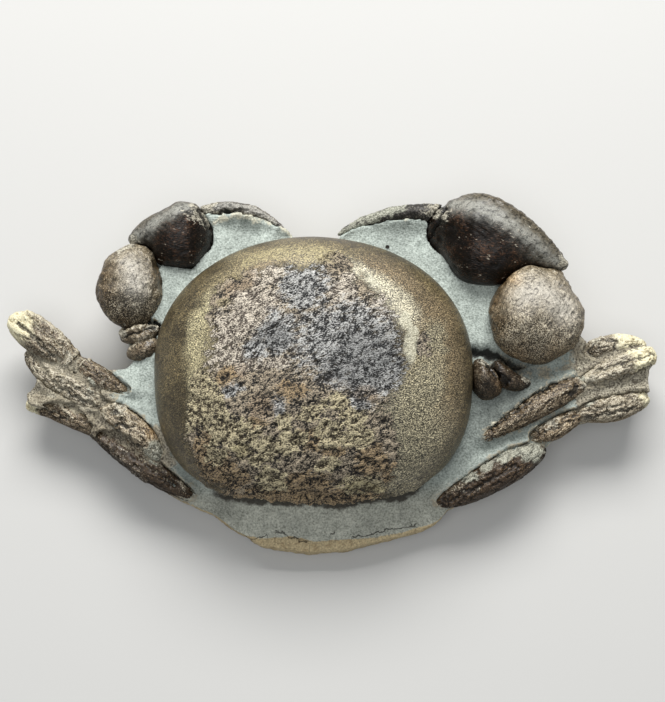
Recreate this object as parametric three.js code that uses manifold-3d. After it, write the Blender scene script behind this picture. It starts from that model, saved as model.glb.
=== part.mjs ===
// A fossil crab in the slab of grey siltstone that it was freed from.
// The swollen shell is a dome wider than it is long. Both claws fold in front of it with their
// fingers meeting the slab's front edge, and three pairs of walking legs lie along the slab's
// two wings. The stone fills the space between the limbs and rests on a flat spot below the shell.
//
// Millimetres. +X is the crab's right (its larger claw), +Y its front, +Z up.
// The origin is the middle of the flat base, at the centre of the part's outline.

import * as THREE from "three";
import { mergeVertices } from "three/addons/utils/BufferGeometryUtils.js";
import Module from "manifold-3d";

const wasm = await Module();
wasm.setup();

// ---- driving dimensions -------------------------------------------------------------------

const SLAB_LENGTH = 182; // leg tip to leg tip
const SLAB_DEPTH = 98; // front of the right claw to the rear lip
const SHELL_HALF_WIDTH = 43.6;
const SHELL_CENTRE = { x: -4.9, y: 2.0 };
const SHELL_REACH = { front: 34.4, rear: 38.8 }; // from the widest line to each margin
const SHELL_CORNERS = { front: 2.05, rear: 2.75 }; // 2 is an ellipse, more is squarer
const SHELL_RIM_HEIGHT = 18.5; // the shell's widest level above the base, at its centre
const SHELL_RIM_SLOPE = 0.05; // the rim climbs towards the front
const SHELL_RISE = 24; // rim to crown
const SHELL_DROP = 7; // rim to the underside, inside the stone
const CROWN_FORWARD = 5; // how far the crown lies in front of the widest line
const SHELL_FULLNESS = { above: 0.9, below: 0.75, crown: 0.96 }; // 1 is a sphere's curve, less is fuller
const SHELL_FACETS = { round: 36, up: 14 };

const STONE_HEIGHT = 17; // top of the slab beside the shell
const STONE_CLIMB = 0.075; // slope of that top towards the front
const STONE_FALL = { behind: -8, slope: 0.13 }; // and its further fall towards the rear lip
const WING_FALL = { from: 45, to: 85, drop: 2 }; // and outwards under the legs
const STONE_THICKNESS = 8; // at the wings and the front webs
const EDGE = { rounding: 4.5, thickness: 2.4 }; // the rolled edge, and what is left at the outline
const REST_SPOT = { x: -4, y: -2, halfLength: 36, halfDepth: 25, runout: 0.42 };
const SHELL_BED = { below: 2.2, outer: 1.02, inner: 0.9 }; // the stone climbs under the shell's rim
const STONE_CELL = 6; // spacing of the slab's surface points
const STONE_LIFT_POWER = 1.5; // how gently the underside leaves the rest spot
const OUTLINE_CUTTER = { from: -10, depth: 40 }; // cuts the slab's block to its outline

const SEAT_GAP = 0.3; // between two neighbouring pieces
const WELD = 1e-4; // points this close are one
const SECTION_SQUARENESS = 2.25; // exponent of every limb's cross-section
const BULKY = { sides: 14, rings: 9 }; // facets round and along a palm or wrist
const SLENDER = { sides: 8, rings: 7 }; // and a finger, an arm or a leg segment

// ---- limbs --------------------------------------------------------------------------------
// A limb is a row of sections from one end to the other, as
// [x, y, z, half width, height above z, depth below z].
// lean moves its crest towards the left of the row, as a share of its half width.

const LIMBS = {
  right_claw_palm: {
    ...BULKY,
    lean: 0.34,
    sections: [
      [27.0, 36.0, 17, 3.0, 3, 2],
      [29.4, 37.2, 18, 7.4, 7, 4],
      [33.2, 37.9, 19, 10.8, 10, 5],
      [40.0, 36.7, 20, 12.6, 12, 5],
      [46.9, 34.7, 20, 11.4, 12, 5],
      [53.8, 33.9, 20, 7.6, 10, 5],
      [59.6, 31.9, 20, 4.4, 7, 4],
      [64.7, 28.8, 20, 2.4, 4, 3],
    ],
  },
  right_claw_finger: {
    ...SLENDER,
    sections: [
      [33.5, 45.0, 18, 3.4, 6, 3],
      [26.3, 44.8, 18, 3.2, 6, 3],
      [19.8, 45.0, 18, 2.3, 4.2, 3],
      [12.8, 43.9, 18, 1.7, 3.2, 2.5],
      [6.0, 41.4, 18, 1.3, 2.6, 2],
      [1.6, 38.9, 18, 0.9, 1.8, 1.5],
    ],
  },
  right_claw_wrist: {
    ...BULKY,
    lean: -0.1,
    sections: [
      [58.2, 29.0, 19, 7.2, 7, 3],
      [57.4, 25.4, 19, 10.0, 10.5, 5],
      [56.6, 19.2, 19, 12.2, 13, 5],
      [56.2, 12.7, 19, 13.4, 13, 5],
      [55.8, 6.8, 19, 12.0, 11, 5],
      [55.8, 1.6, 18, 6.8, 6, 3],
    ],
  },
  right_claw_arm: {
    ...SLENDER,
    sections: [
      [44.8, 3.0, 18, 2.0, 4, 3],
      [46.6, -0.6, 18, 2.6, 5, 3],
      [50.2, -2.7, 17, 2.6, 4, 3],
      [55.0, -2.9, 16, 1.8, 2.5, 2],
    ],
  },
  right_claw_arm_base: {
    ...SLENDER,
    sections: [
      [40.0, 3.6, 18, 2.0, 3, 2],
      [41.1, 0.0, 18, 3.3, 5, 3],
      [42.6, -3.6, 17, 4.4, 6, 3],
      [44.0, -7.3, 16, 3.4, 4, 2.5],
    ],
  },
  left_claw_palm: {
    ...BULKY,
    lean: 0.34,
    sections: [
      [-57.0, 37.2, 18, 1.8, 2, 2],
      [-52.2, 38.8, 18, 4.2, 6, 3],
      [-48.0, 38.8, 18, 7.0, 8.5, 4],
      [-43.5, 37.8, 18, 9.9, 10, 4.5],
      [-39.3, 38.6, 18, 9.8, 10, 4.5],
      [-35.4, 38.9, 18, 7.2, 8, 4],
      [-32.6, 39.4, 17, 3.6, 3, 2],
    ],
  },
  left_claw_finger: {
    ...SLENDER,
    sections: [
      [-37.5, 45.6, 18, 2.6, 5, 3],
      [-31.3, 46.1, 18, 2.4, 5, 3],
      [-25.7, 46.1, 18, 1.9, 4, 2.5],
      [-20.6, 44.9, 18, 1.6, 3.2, 2.5],
      [-16.4, 42.6, 18, 1.2, 2.5, 2],
      [-12.6, 40.0, 18, 0.8, 1.7, 1.5],
    ],
  },
  left_claw_wrist: {
    ...BULKY,
    lean: -0.1,
    sections: [
      [-54.8, 36.4, 17, 4.2, 4.5, 3],
      [-54.8, 32.4, 17, 7.0, 8.5, 4],
      [-55.6, 26.8, 17, 8.9, 10.5, 5],
      [-55.8, 21.0, 17, 9.1, 10.5, 5],
      [-55.4, 15.6, 17, 7.2, 8, 4],
      [-54.8, 11.6, 16, 3.6, 4, 3],
    ],
  },
  left_claw_arm: {
    ...SLENDER,
    sections: [
      [-59.0, 10.4, 15, 1.7, 2.5, 2],
      [-55.6, 10.7, 16, 2.5, 4, 3],
      [-51.7, 11.2, 16.5, 2.5, 4.5, 3],
      [-47.6, 12.9, 17, 1.5, 3, 3],
    ],
  },
  left_claw_arm_base: {
    ...SLENDER,
    sections: [
      [-57.0, 6.7, 14, 2.0, 2.5, 2],
      [-53.7, 6.0, 15, 2.8, 4, 2.5],
      [-50.7, 7.0, 15.5, 2.8, 4.5, 2.5],
      [-47.6, 8.5, 16, 1.7, 3, 2.5],
    ],
  },
  left_leg_1_thigh: {
    ...SLENDER,
    sections: [
      [-71.0, 4.1, 14.5, 2.4, 3, 2.5],
      [-65.7, 0.0, 15, 3.3, 4.2, 3],
      [-61.2, -2.8, 15, 2.8, 3.6, 3],
      [-57.8, -4.3, 15, 1.8, 2.4, 2],
      [-54.8, -5.3, 15, 1.0, 1.3, 1.3],
    ],
  },
  left_leg_1_shank: {
    ...SLENDER,
    sections: [
      [-90.0, 15.6, 15, 3.4, 3.8, 3],
      [-85.4, 13.3, 15, 4.8, 5, 3.5],
      [-79.6, 9.2, 15, 4.8, 5, 3.5],
      [-74.4, 5.6, 15, 4.0, 4.4, 3],
      [-70.4, 3.6, 15, 2.4, 2.7, 2],
    ],
  },
  left_leg_2_thigh: {
    ...SLENDER,
    sections: [
      [-63.2, -9.0, 13.5, 2.8, 3.5, 2.5],
      [-59.1, -11.6, 14, 3.6, 4.5, 3],
      [-54.6, -15.2, 14, 4.1, 5, 3.2],
      [-50.4, -19.4, 14, 3.9, 4.5, 3],
      [-46.4, -23.8, 13.5, 2.8, 3, 2.5],
    ],
  },
  left_leg_2_shank: {
    ...SLENDER,
    sections: [
      [-85.0, 7.0, 13, 2.6, 3, 2.5],
      [-80.4, 1.7, 13.5, 3.3, 3.5, 3],
      [-74.0, -2.6, 14, 3.8, 4, 3],
      [-67.3, -6.3, 14, 3.6, 4, 3],
      [-62.4, -8.9, 14, 2.6, 3, 2.5],
    ],
  },
  left_leg_3_thigh: {
    ...SLENDER,
    sections: [
      [-65.2, -15.4, 10.5, 2.8, 3.5, 3],
      [-58.4, -20.2, 11, 3.5, 4.8, 3.5],
      [-51.4, -25.2, 11, 3.5, 4.8, 3.5],
      [-44.4, -29.8, 10.5, 3.1, 4, 3],
      [-37.0, -34.2, 10, 2.2, 2.5, 2],
    ],
  },
  left_leg_3_shank: {
    ...SLENDER,
    sections: [
      [-85.2, -7.6, 10, 2.6, 3.2, 3],
      [-78.9, -8.7, 10.5, 2.6, 3.2, 3],
      [-72.0, -11.4, 11, 3.1, 4, 3],
      [-65.0, -15.4, 11, 2.9, 3.5, 3],
    ],
  },
  right_leg_1_thigh: {
    ...SLENDER,
    sections: [
      [41.0, -18.3, 15, 1.9, 2.2, 2],
      [47.7, -14.5, 15, 2.8, 4, 3],
      [56.1, -9.8, 15, 3.6, 5, 3.5],
      [63.6, -5.3, 15, 4.0, 5.2, 3.5],
      [69.2, -3.2, 15, 3.0, 3.5, 3],
    ],
  },
  right_leg_1_shank: {
    ...SLENDER,
    sections: [
      [69.0, -2.8, 15, 2.6, 3.2, 3],
      [75.3, -0.1, 15.5, 3.5, 4.2, 3.2],
      [82.6, 2.7, 15.5, 3.8, 4.5, 3.4],
      [90.0, 5.8, 15, 3.2, 3.6, 3],
    ],
  },
  right_leg_1_foot: {
    ...SLENDER,
    sections: [
      [69.2, 5.6, 15, 2.2, 2.2, 2],
      [74.7, 7.0, 15.5, 3.3, 3.8, 3],
      [80.6, 8.6, 15.5, 2.8, 3.6, 3],
      [87.4, 7.7, 15, 2.2, 2.6, 2],
    ],
  },
  right_leg_2_thigh: {
    ...SLENDER,
    sections: [
      [53.8, -18.0, 12.5, 2.0, 2.2, 2],
      [59.7, -15.9, 13, 3.0, 3.8, 3],
      [64.8, -13.1, 13, 2.8, 3.6, 3],
      [68.6, -10.9, 13, 2.2, 2.6, 2.4],
    ],
  },
  right_leg_2_shank: {
    ...SLENDER,
    sections: [
      [68.0, -10.6, 13, 2.6, 3.2, 3],
      [74.2, -10.1, 13.5, 3.5, 4.2, 3.2],
      [81.1, -8.7, 13.5, 3.5, 4.2, 3.2],
      [87.9, -6.3, 13, 2.7, 3, 2.6],
    ],
  },
  right_leg_3: {
    ...SLENDER,
    sections: [
      [28.0, -35.8, 10.5, 2.4, 3, 2.5],
      [34.7, -33.1, 11.5, 3.6, 4.6, 3.4],
      [42.2, -29.3, 12, 4.3, 5.2, 3.6],
      [49.6, -25.0, 12.5, 4.6, 5, 3.6],
      [55.5, -21.8, 12.5, 3.7, 4, 3],
      [59.2, -20.4, 12, 2.0, 2, 2],
    ],
  },
};

// The slab's outline, clockwise from its front left tip. It follows the limbs a little inside
// their edges, so that claws and legs stand proud of the stone all round.
const STONE_OUTLINE = [
  [-11, 38], [-13, 40.5], [-19.5, 44], [-27, 46], [-35.5, 46.6], [-42, 46.4], [-48, 44], [-53.5, 40],
  [-56, 36.5], [-61, 31], [-63, 24.5], [-62, 19], [-58.5, 13.4], [-56.3, 8], [-54, 4.5], [-57, 1.4],
  [-62.4, 1.1], [-66.5, 2.5], [-75.6, 8.9], [-81, 12.8], [-86.5, 16], [-88.6, 14], [-85.5, 8.7],
  [-84, 3.2], [-81.3, -2.3], [-84.2, -5.5], [-83.8, -8.6], [-75.7, -10.8], [-67, -16.2], [-61.3, -21],
  [-55.6, -26], [-50, -29.6], [-42, -34], [-32.2, -38.4], [-26, -43], [-19, -46.8], [-6, -48.5],
  [5, -47.6], [16, -45], [24.4, -42.8], [29.4, -40.2], [32, -37], [38, -34], [45.5, -30.5], [52.5, -26],
  [58, -22.6], [59.3, -20], [63, -16], [68.8, -13.2], [74.3, -12.2], [81, -10.6], [86.6, -8], [87.8, -4.4],
  [87.6, -0.8], [89.6, 5.6], [85.5, 9], [80.4, 10.9], [74.8, 10], [70, 8.4], [68.4, 13.4], [67, 20.6],
  [65, 27.5], [62.4, 32], [58, 36.7], [52.6, 41], [44.3, 45.6], [37, 48.2], [30.6, 46.6], [22, 45.9],
  [13, 44.2], [5.4, 40.6], [1.6, 37.6], [-5, 35.9],
];

// ---- helpers ------------------------------------------------------------------------------

const signedPower = (value, power) => Math.sign(value) * Math.abs(value) ** power;

const smoothstep = (from, to, value) => {
  const share = THREE.MathUtils.clamp((value - from) / (to - from), 0, 1);
  return share * share * (3 - 2 * share);
};

// A closed three.js geometry as a manifold-3d solid.
function solidOf(geometry) {
  const plain = geometry.clone();
  plain.deleteAttribute("normal");
  plain.deleteAttribute("uv");
  const welded = mergeVertices(plain, WELD);
  return new wasm.Manifold(
    new wasm.Mesh({
      numProp: 3,
      vertProperties: welded.attributes.position.array,
      triVerts: new Uint32Array(welded.index.array),
    }),
  );
}

// A manifold-3d solid as a flat-shaded three.js geometry.
function geometryOf(solid) {
  const mesh = solid.getMesh();
  const geometry = new THREE.BufferGeometry();
  geometry.setAttribute("position", new THREE.BufferAttribute(mesh.vertProperties.slice(), 3));
  geometry.setIndex(new THREE.BufferAttribute(mesh.triVerts.slice(), 1));
  const flat = geometry.toNonIndexed();
  flat.computeVertexNormals();
  return flat;
}

// The largest body of a solid: cutting can leave a crumb behind.
function mainBody(solid) {
  return solid.decompose().reduce((a, b) => (b.volume() > a.volume() ? b : a));
}

// ---- shell --------------------------------------------------------------------------------

// Distance from the shell's centre to its margin, in the direction of an angle round +Z.
function shellMargin(angle) {
  const ahead = Math.sin(angle) > 0;
  const reach = ahead ? SHELL_REACH.front : SHELL_REACH.rear;
  const corners = ahead ? SHELL_CORNERS.front : SHELL_CORNERS.rear;
  const across = Math.abs(Math.cos(angle) / SHELL_HALF_WIDTH) ** corners;
  const along = Math.abs(Math.sin(angle) / reach) ** corners;
  return (across + along) ** (-1 / corners);
}

// The dome, as a sphere whose points are moved: its poles are the crown and the underside.
function shellGeometry(grow) {
  const geometry = new THREE.SphereGeometry(1, SHELL_FACETS.round, SHELL_FACETS.up);
  const position = geometry.attributes.position;
  for (let i = 0; i < position.count; i++) {
    const x = position.getX(i);
    const y = -position.getZ(i);
    const up = position.getY(i);
    const angle = Math.atan2(y, x);
    const spread = Math.hypot(x, y) ** (up > 0 ? SHELL_FULLNESS.above : SHELL_FULLNESS.below);
    const radius = (shellMargin(angle) + grow) * spread;
    const crown = CROWN_FORWARD * Math.max(0, up) ** 2;
    const sideways = radius * Math.cos(angle);
    const forward = radius * Math.sin(angle) + crown;
    const level = SHELL_RIM_HEIGHT + SHELL_RIM_SLOPE * forward;
    const rise = up > 0 ? (SHELL_RISE + grow) * up ** SHELL_FULLNESS.crown : (SHELL_DROP + grow) * up;
    position.setXYZ(i, SHELL_CENTRE.x + sideways, SHELL_CENTRE.y + forward, level + rise);
  }
  return geometry;
}

// ---- limbs --------------------------------------------------------------------------------

// A limb, as a sphere whose poles go to the two ends of the row of sections and whose
// meridians run along it. grow makes it that much larger all round.
function limbGeometry({ sections, sides, rings, lean = 0 }, grow) {
  const centres = new THREE.CatmullRomCurve3(sections.map(([x, y, z]) => new THREE.Vector3(x, y, z)));
  const sizes = new THREE.CatmullRomCurve3(
    sections.map(([, , , halfWidth, above, below]) => new THREE.Vector3(halfWidth, above, below)),
  );
  const geometry = new THREE.SphereGeometry(1, sides, rings);
  const position = geometry.attributes.position;
  for (let i = 0; i < position.count; i++) {
    const polar = Math.acos(THREE.MathUtils.clamp(position.getY(i), -1, 1));
    const share = (1 - Math.cos(polar)) / 2;
    const centre = centres.getPoint(share);
    const [halfWidth, above, below] = sizes.getPoint(share).toArray();
    const direction = centres.getTangent(share).setZ(0).normalize();
    const left = new THREE.Vector3(-direction.y, direction.x, 0);
    const turn = Math.atan2(position.getZ(i), position.getX(i));
    const closing = Math.sqrt(Math.max(0, Math.sin(polar)));
    const sideways = signedPower(Math.cos(turn), 2 / SECTION_SQUARENESS);
    const upwards = signedPower(Math.sin(turn), 2 / SECTION_SQUARENESS);
    const height = (upwards > 0 ? above : below) + grow;
    const crest = upwards > 0 ? lean * halfWidth * upwards ** 2 : 0;
    centre.addScaledVector(left, closing * (sideways * (halfWidth + grow) + crest));
    centre.addScaledVector(direction, -Math.cos(polar) * grow);
    centre.z += closing * upwards * height;
    position.setXYZ(i, centre.x, centre.y, centre.z);
  }
  return geometry;
}

// ---- stone --------------------------------------------------------------------------------

const stoneShape = new THREE.Shape(STONE_OUTLINE.map(([x, y]) => new THREE.Vector2(x, y)));

// How far a point lies from the slab's outline.
function edgeDistance(x, y) {
  const point = new THREE.Vector3(x, y, 0);
  const nearest = new THREE.Vector3();
  let least = Infinity;
  STONE_OUTLINE.forEach(([x0, y0], i) => {
    const [x1, y1] = STONE_OUTLINE[(i + 1) % STONE_OUTLINE.length];
    const side = new THREE.Line3(new THREE.Vector3(x0, y0, 0), new THREE.Vector3(x1, y1, 0));
    side.closestPointToPoint(point, true, nearest);
    least = Math.min(least, nearest.distanceTo(point));
  });
  return least;
}

// The slab's upper face: it falls away towards the rear and the leg tips, and climbs under the
// shell, which it carries.
function stoneTop(x, y) {
  const rearward = Math.max(0, STONE_FALL.behind - y) * STONE_FALL.slope;
  const outward = smoothstep(WING_FALL.from, WING_FALL.to, Math.abs(x)) * WING_FALL.drop;
  const open = STONE_HEIGHT + STONE_CLIMB * y - rearward - outward;
  const fromShell = new THREE.Vector2(x - SHELL_CENTRE.x, y - SHELL_CENTRE.y);
  const share = fromShell.length() / shellMargin(fromShell.angle());
  const bed = SHELL_RIM_HEIGHT + SHELL_RIM_SLOPE * fromShell.y - SHELL_BED.below;
  return open + Math.max(0, bed - open) * smoothstep(SHELL_BED.outer, SHELL_BED.inner, share);
}

// Heights of the slab's two faces at a point of its plan. Its underside climbs from the rest
// spot, and both faces roll over at the edge.
function stoneFaces(x, y) {
  const top = stoneTop(x, y);
  const fromSpot = new THREE.Vector2(x - REST_SPOT.x, y - REST_SPOT.y);
  const spotSize = new THREE.Vector2(REST_SPOT.halfLength, REST_SPOT.halfDepth);
  const beyond = Math.max(0, fromSpot.divide(spotSize).length() - 1);
  const lift = 1 - Math.exp(-((beyond / REST_SPOT.runout) ** STONE_LIFT_POWER));
  const bottom = lift * Math.max(0, top - STONE_THICKNESS);
  const inward = Math.min(1, edgeDistance(x, y) / EDGE.rounding);
  const roll = 1 - Math.sqrt(1 - (1 - inward) ** 2);
  const taken = (roll * (top - bottom - EDGE.thickness)) / 2;
  return { top: top - taken, bottom: bottom > 0 ? bottom + taken : 0 };
}

// The slab, as a finely divided block with both faces moved to their heights, inside its outline.
function stoneSolid() {
  const across = Math.round(SLAB_LENGTH / STONE_CELL);
  const along = Math.round(SLAB_DEPTH / STONE_CELL);
  const block = new THREE.BoxGeometry(SLAB_LENGTH, SLAB_DEPTH, 1, across, along, 1);
  const position = block.attributes.position;
  for (let i = 0; i < position.count; i++) {
    const { top, bottom } = stoneFaces(position.getX(i), position.getY(i));
    position.setZ(i, position.getZ(i) > 0 ? top : bottom);
  }
  const cutter = { depth: OUTLINE_CUTTER.depth, bevelEnabled: false };
  const outline = new THREE.ExtrudeGeometry(stoneShape, cutter).translate(0, 0, OUTLINE_CUTTER.from);
  return solidOf(block).intersect(solidOf(outline));
}

// ---- assembly -----------------------------------------------------------------------------

const finishes = {
  stone: { color: 0x7f8883, roughness: 0.95, metalness: 0 },
  shell: { color: 0x5d5136, roughness: 0.5, metalness: 0 },
  claw: { color: 0x3a2f26, roughness: 0.38, metalness: 0 },
  leg: { color: 0x6e604b, roughness: 0.7, metalness: 0 },
};

function finishOf(name) {
  if (name === "shell" || name === "stone") return finishes[name];
  return name.includes("claw") ? finishes.claw : finishes.leg;
}

function piece(name, solid) {
  const mesh = new THREE.Mesh(geometryOf(solid), new THREE.MeshStandardMaterial(finishOf(name)));
  mesh.name = name;
  return mesh;
}

const crab = new THREE.Group();
crab.name = "fossil_crab";

// The limbs of each side, claws and legs apart.
const sides = {};
for (const name of ["left_claw", "left_leg", "right_claw", "right_leg"]) {
  sides[name] = new THREE.Group();
  sides[name].name = `${name}_pieces`;
  crab.add(sides[name]);
}

// Each piece is cut back from those before it, so the shell and the palms stay whole and what
// tucks in behind them is shaped to fit. The stone is cut last, as one seat for them all.
crab.add(piece("shell", solidOf(shellGeometry(0))));
let seated = solidOf(shellGeometry(SEAT_GAP));
for (const [name, limb] of Object.entries(LIMBS)) {
  const [side, kind] = name.split("_");
  const body = mainBody(solidOf(limbGeometry(limb, 0)).subtract(seated));
  sides[`${side}_${kind}`].add(piece(name, body));
  seated = seated.add(solidOf(limbGeometry(limb, SEAT_GAP)));
}
crab.add(piece("stone", mainBody(stoneSolid().subtract(seated))));

// The origin goes to the middle of the part's outline, at the level of the rest spot.
const extent = new THREE.Box3().setFromObject(crab);
const middle = extent.getCenter(new THREE.Vector3());
crab.position.set(-middle.x, -middle.y, -extent.min.z);

export default crab;
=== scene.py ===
# %% [markdown]
# # A fossil crab in its slab of siltstone
#
# A frame of plain solids is already made: one solid for the shell, one for each segment of the claws
# and legs, and one for the stone that holds them. This notebook gives each of them the surface of the
# real thing: a swollen shell whose crown has weathered to bare grains, dark glossy claws, ribbed legs
# with pale tips, and grey-green stone that was scraped away between them.
#
# All lengths are in metres, so a millimetre gets a name of its own.

import math

import bmesh
import bpy
import numpy as np
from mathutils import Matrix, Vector
from mathutils.bvhtree import BVHTree


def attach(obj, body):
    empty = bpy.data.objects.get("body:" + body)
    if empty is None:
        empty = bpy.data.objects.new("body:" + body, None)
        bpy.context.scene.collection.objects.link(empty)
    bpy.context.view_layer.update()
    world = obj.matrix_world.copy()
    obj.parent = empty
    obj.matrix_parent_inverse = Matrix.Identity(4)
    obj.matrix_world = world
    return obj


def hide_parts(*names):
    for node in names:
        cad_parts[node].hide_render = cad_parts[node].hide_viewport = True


MM = 0.001
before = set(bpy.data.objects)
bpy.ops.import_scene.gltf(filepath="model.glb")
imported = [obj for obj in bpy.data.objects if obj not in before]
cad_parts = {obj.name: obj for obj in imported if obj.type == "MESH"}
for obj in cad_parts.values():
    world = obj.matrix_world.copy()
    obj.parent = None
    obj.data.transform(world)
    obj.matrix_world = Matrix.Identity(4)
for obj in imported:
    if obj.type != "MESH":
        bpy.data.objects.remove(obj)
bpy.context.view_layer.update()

# %% [markdown]
# ## Camera
#
# The crab is seen from above, a little from behind, as it would be held to show its back. A long lens
# keeps the outline true. Turning a camera by a few degrees about X from straight down is all it takes.

# %% Camera
VIEW_ELEVATION = math.radians(78)
VIEW_DISTANCE = 430 * MM
VIEW_TARGET = Vector((0.3, 5.6, 18)) * MM
VIEW_LENS = 80.05
SENSOR_WIDTH = 36


def new_object(name, data):
    thing = bpy.data.objects.new(name, data)
    bpy.context.scene.collection.objects.link(thing)
    return thing


lens = bpy.data.cameras.new("camera")
lens.lens = VIEW_LENS
lens.sensor_width = SENSOR_WIDTH
camera = new_object("camera", lens)
towards_camera = Vector((0, -math.cos(VIEW_ELEVATION), math.sin(VIEW_ELEVATION)))
camera.location = VIEW_TARGET + VIEW_DISTANCE * towards_camera
camera.rotation_euler = (math.pi / 2 - VIEW_ELEVATION, 0, 0)
bpy.context.scene.camera = camera
bpy.context.scene.view_settings.view_transform = "Standard"
print("camera at", [round(c / MM) for c in camera.location], "mm")

# %% [markdown]
# ## Light and floor
#
# Gloss shows only where a surface mirrors something bright. One large softbox stands in front of the
# crab and above it, so that each claw carries a broad pale band along its outer slope and the shell
# throws its shade over the rear lip. A grey sky fills that shade, and a pale floor lies below.

# %% Light and floor
def softbox(name, azimuth, elevation, distance, size, power, tint=(1, 1, 1)):
    light = bpy.data.lights.new(name, "AREA")
    light.shape = "RECTANGLE"
    light.size, light.size_y = size
    light.energy = power
    light.color = tint
    lamp = new_object(name, light)
    a, e = math.radians(azimuth), math.radians(elevation)
    direction = Vector((math.sin(a) * math.cos(e), math.cos(a) * math.cos(e), math.sin(e)))
    lamp.location = direction * distance
    lamp.rotation_euler = direction.to_track_quat("Z", "Y").to_euler()


WARM_WHITE = (1, 0.985, 0.96)
softbox("front_softbox", azimuth=1, elevation=45, distance=0.9, size=(0.7, 0.42), power=12.6,
        tint=WARM_WHITE)
softbox("top_softbox", azimuth=200, elevation=74, distance=1.1, size=(0.9, 0.6), power=4.0)

SKY_COLOUR = (0.93, 0.97, 1.0, 1)
SKY_STRENGTH = 0.26
sky = bpy.data.worlds.new("studio")
sky.use_nodes = True
sky_light = sky.node_tree.nodes["Background"]
sky_light.inputs["Color"].default_value = SKY_COLOUR
sky_light.inputs["Strength"].default_value = SKY_STRENGTH
bpy.context.scene.world = sky

FLOOR_HALF = 2.0
FLOOR_COLOUR = (0.52, 0.52, 0.51, 1)
FLOOR_ROUGHNESS = 0.8
floor_mesh = bpy.data.meshes.new("floor")
corners = [(i * FLOOR_HALF, j * FLOOR_HALF, 0) for i, j in ((-1, -1), (1, -1), (1, 1), (-1, 1))]
floor_mesh.from_pydata(corners, [], [(0, 1, 2, 3)])
floor = new_object("floor", floor_mesh)
floor_paint = bpy.data.materials.new("floor_paint")
floor_paint.use_nodes = True
floor_shader = floor_paint.node_tree.nodes["Principled BSDF"]
floor_shader.inputs["Base Color"].default_value = FLOOR_COLOUR
floor_shader.inputs["Roughness"].default_value = FLOOR_ROUGHNESS
floor_mesh.materials.append(floor_paint)

# %% [markdown]
# ## Wires
#
# Weathered stone is noise upon noise, so the trees below have many nodes. Linking them by hand hides
# the idea in the wiring. A small class keeps it readable: a wire is one output of a tree, and adding,
# scaling or comparing wires adds the node that does it. It serves shape trees and shader trees alike.

# %% Wires
class Wire:
    """One output of a node tree. Arithmetic on wires adds the math nodes that do it."""

    def __init__(self, tree, socket):
        self.tree = tree
        self.socket = socket

    def math(self, operation, *others):
        return add(self.tree, "ShaderNodeMath", dict(enumerate((self, *others))), operation=operation)

    def __add__(self, other):
        return self.math("ADD", other)

    def __sub__(self, other):
        return self.math("SUBTRACT", other)

    def __mul__(self, other):
        return self.math("MULTIPLY", other)

    def __truediv__(self, other):
        return self.math("DIVIDE", other)

    def __pow__(self, other):
        return self.math("POWER", other)

    def __rsub__(self, other):
        return add(self.tree, "ShaderNodeMath", {0: other, 1: self}, operation="SUBTRACT")

    def __rtruediv__(self, other):
        return add(self.tree, "ShaderNodeMath", {0: other, 1: self}, operation="DIVIDE")

    __radd__ = __add__
    __rmul__ = __mul__


def add(tree, kind, inputs=(), output=0, **settings):
    """Adds a node, makes its settings, fills its inputs with wires or values, and gives an output."""
    node = tree.nodes.new(kind)
    for name, value in settings.items():
        setattr(node, name, value)
    for key, value in dict(inputs).items():
        named = [s for s in node.inputs if s.name == key and s.enabled]
        socket = named[0] if named else node.inputs[key]
        if isinstance(value, Wire):
            tree.links.new(value.socket, socket)
        else:
            socket.default_value = value
    return Wire(tree, node.outputs[output])


def vector(operation, *inputs):
    """A vector operation on wires and plain triples."""
    tree = next(i.tree for i in inputs if isinstance(i, Wire))
    return add(tree, "ShaderNodeVectorMath", dict(enumerate(inputs)), operation=operation)


def scaled(wire, factor):
    return add(wire.tree, "ShaderNodeVectorMath", {0: wire, "Scale": factor}, operation="SCALE")


def parts(wire):
    node = add(wire.tree, "ShaderNodeSeparateXYZ", {0: wire}).socket.node
    return [Wire(wire.tree, outlet) for outlet in node.outputs]


def joined(x, y, z):
    tree = next(i.tree for i in (x, y, z) if isinstance(i, Wire))
    return add(tree, "ShaderNodeCombineXYZ", {0: x, 1: y, 2: z})


def step(value, low, high):
    """0 below low, 1 above high, and a smooth climb between."""
    limits = {"Value": value, "From Min": low, "From Max": high}
    return add(value.tree, "ShaderNodeMapRange", limits, interpolation_type="SMOOTHSTEP")


def ramp(value, low, high):
    """0 below low, 1 above high, and an even climb between."""
    return add(value.tree, "ShaderNodeMapRange", {"Value": value, "From Min": low, "From Max": high})


def noise(place, size, detail=3.0, roughness=0.55, seed=0, stretch=(1, 1, 1)):
    """Fractal noise about 0.5 whose largest lumps are about size across, in the units of place."""
    squeeze = tuple(1 / s for s in stretch)
    moved = vector("MULTIPLY_ADD", place, squeeze, (seed * 7.3, seed * 3.1, seed * 5.7))
    settings = {"Vector": moved, "Scale": 1 / size, "Detail": detail, "Roughness": roughness}
    return add(place.tree, "ShaderNodeTexNoise", settings)


def cells(place, size):
    """How far each place is from the middle of the nearest cell, of many that are about size across."""
    return add(place.tree, "ShaderNodeTexVoronoi", {"Vector": place, "Scale": 1 / size})


def stored(tree, name, vector_data=False):
    """A value that the mesh keeps under a name."""
    if tree.bl_idname == "ShaderNodeTree":
        output = "Vector" if vector_data else "Fac"
        return add(tree, "ShaderNodeAttribute", output=output, attribute_name=name)
    kind = "FLOAT_VECTOR" if vector_data else "FLOAT"
    return add(tree, "GeometryNodeInputNamedAttribute", {"Name": name}, data_type=kind)


def keep(geometry, name, value):
    """The same geometry with a value kept on its points under a name."""
    inputs = {"Geometry": geometry, "Name": name, "Value": value}
    return add(geometry.tree, "GeometryNodeStoreNamedAttribute", inputs, data_type="FLOAT", domain="POINT")


print("wires ready")

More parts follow.
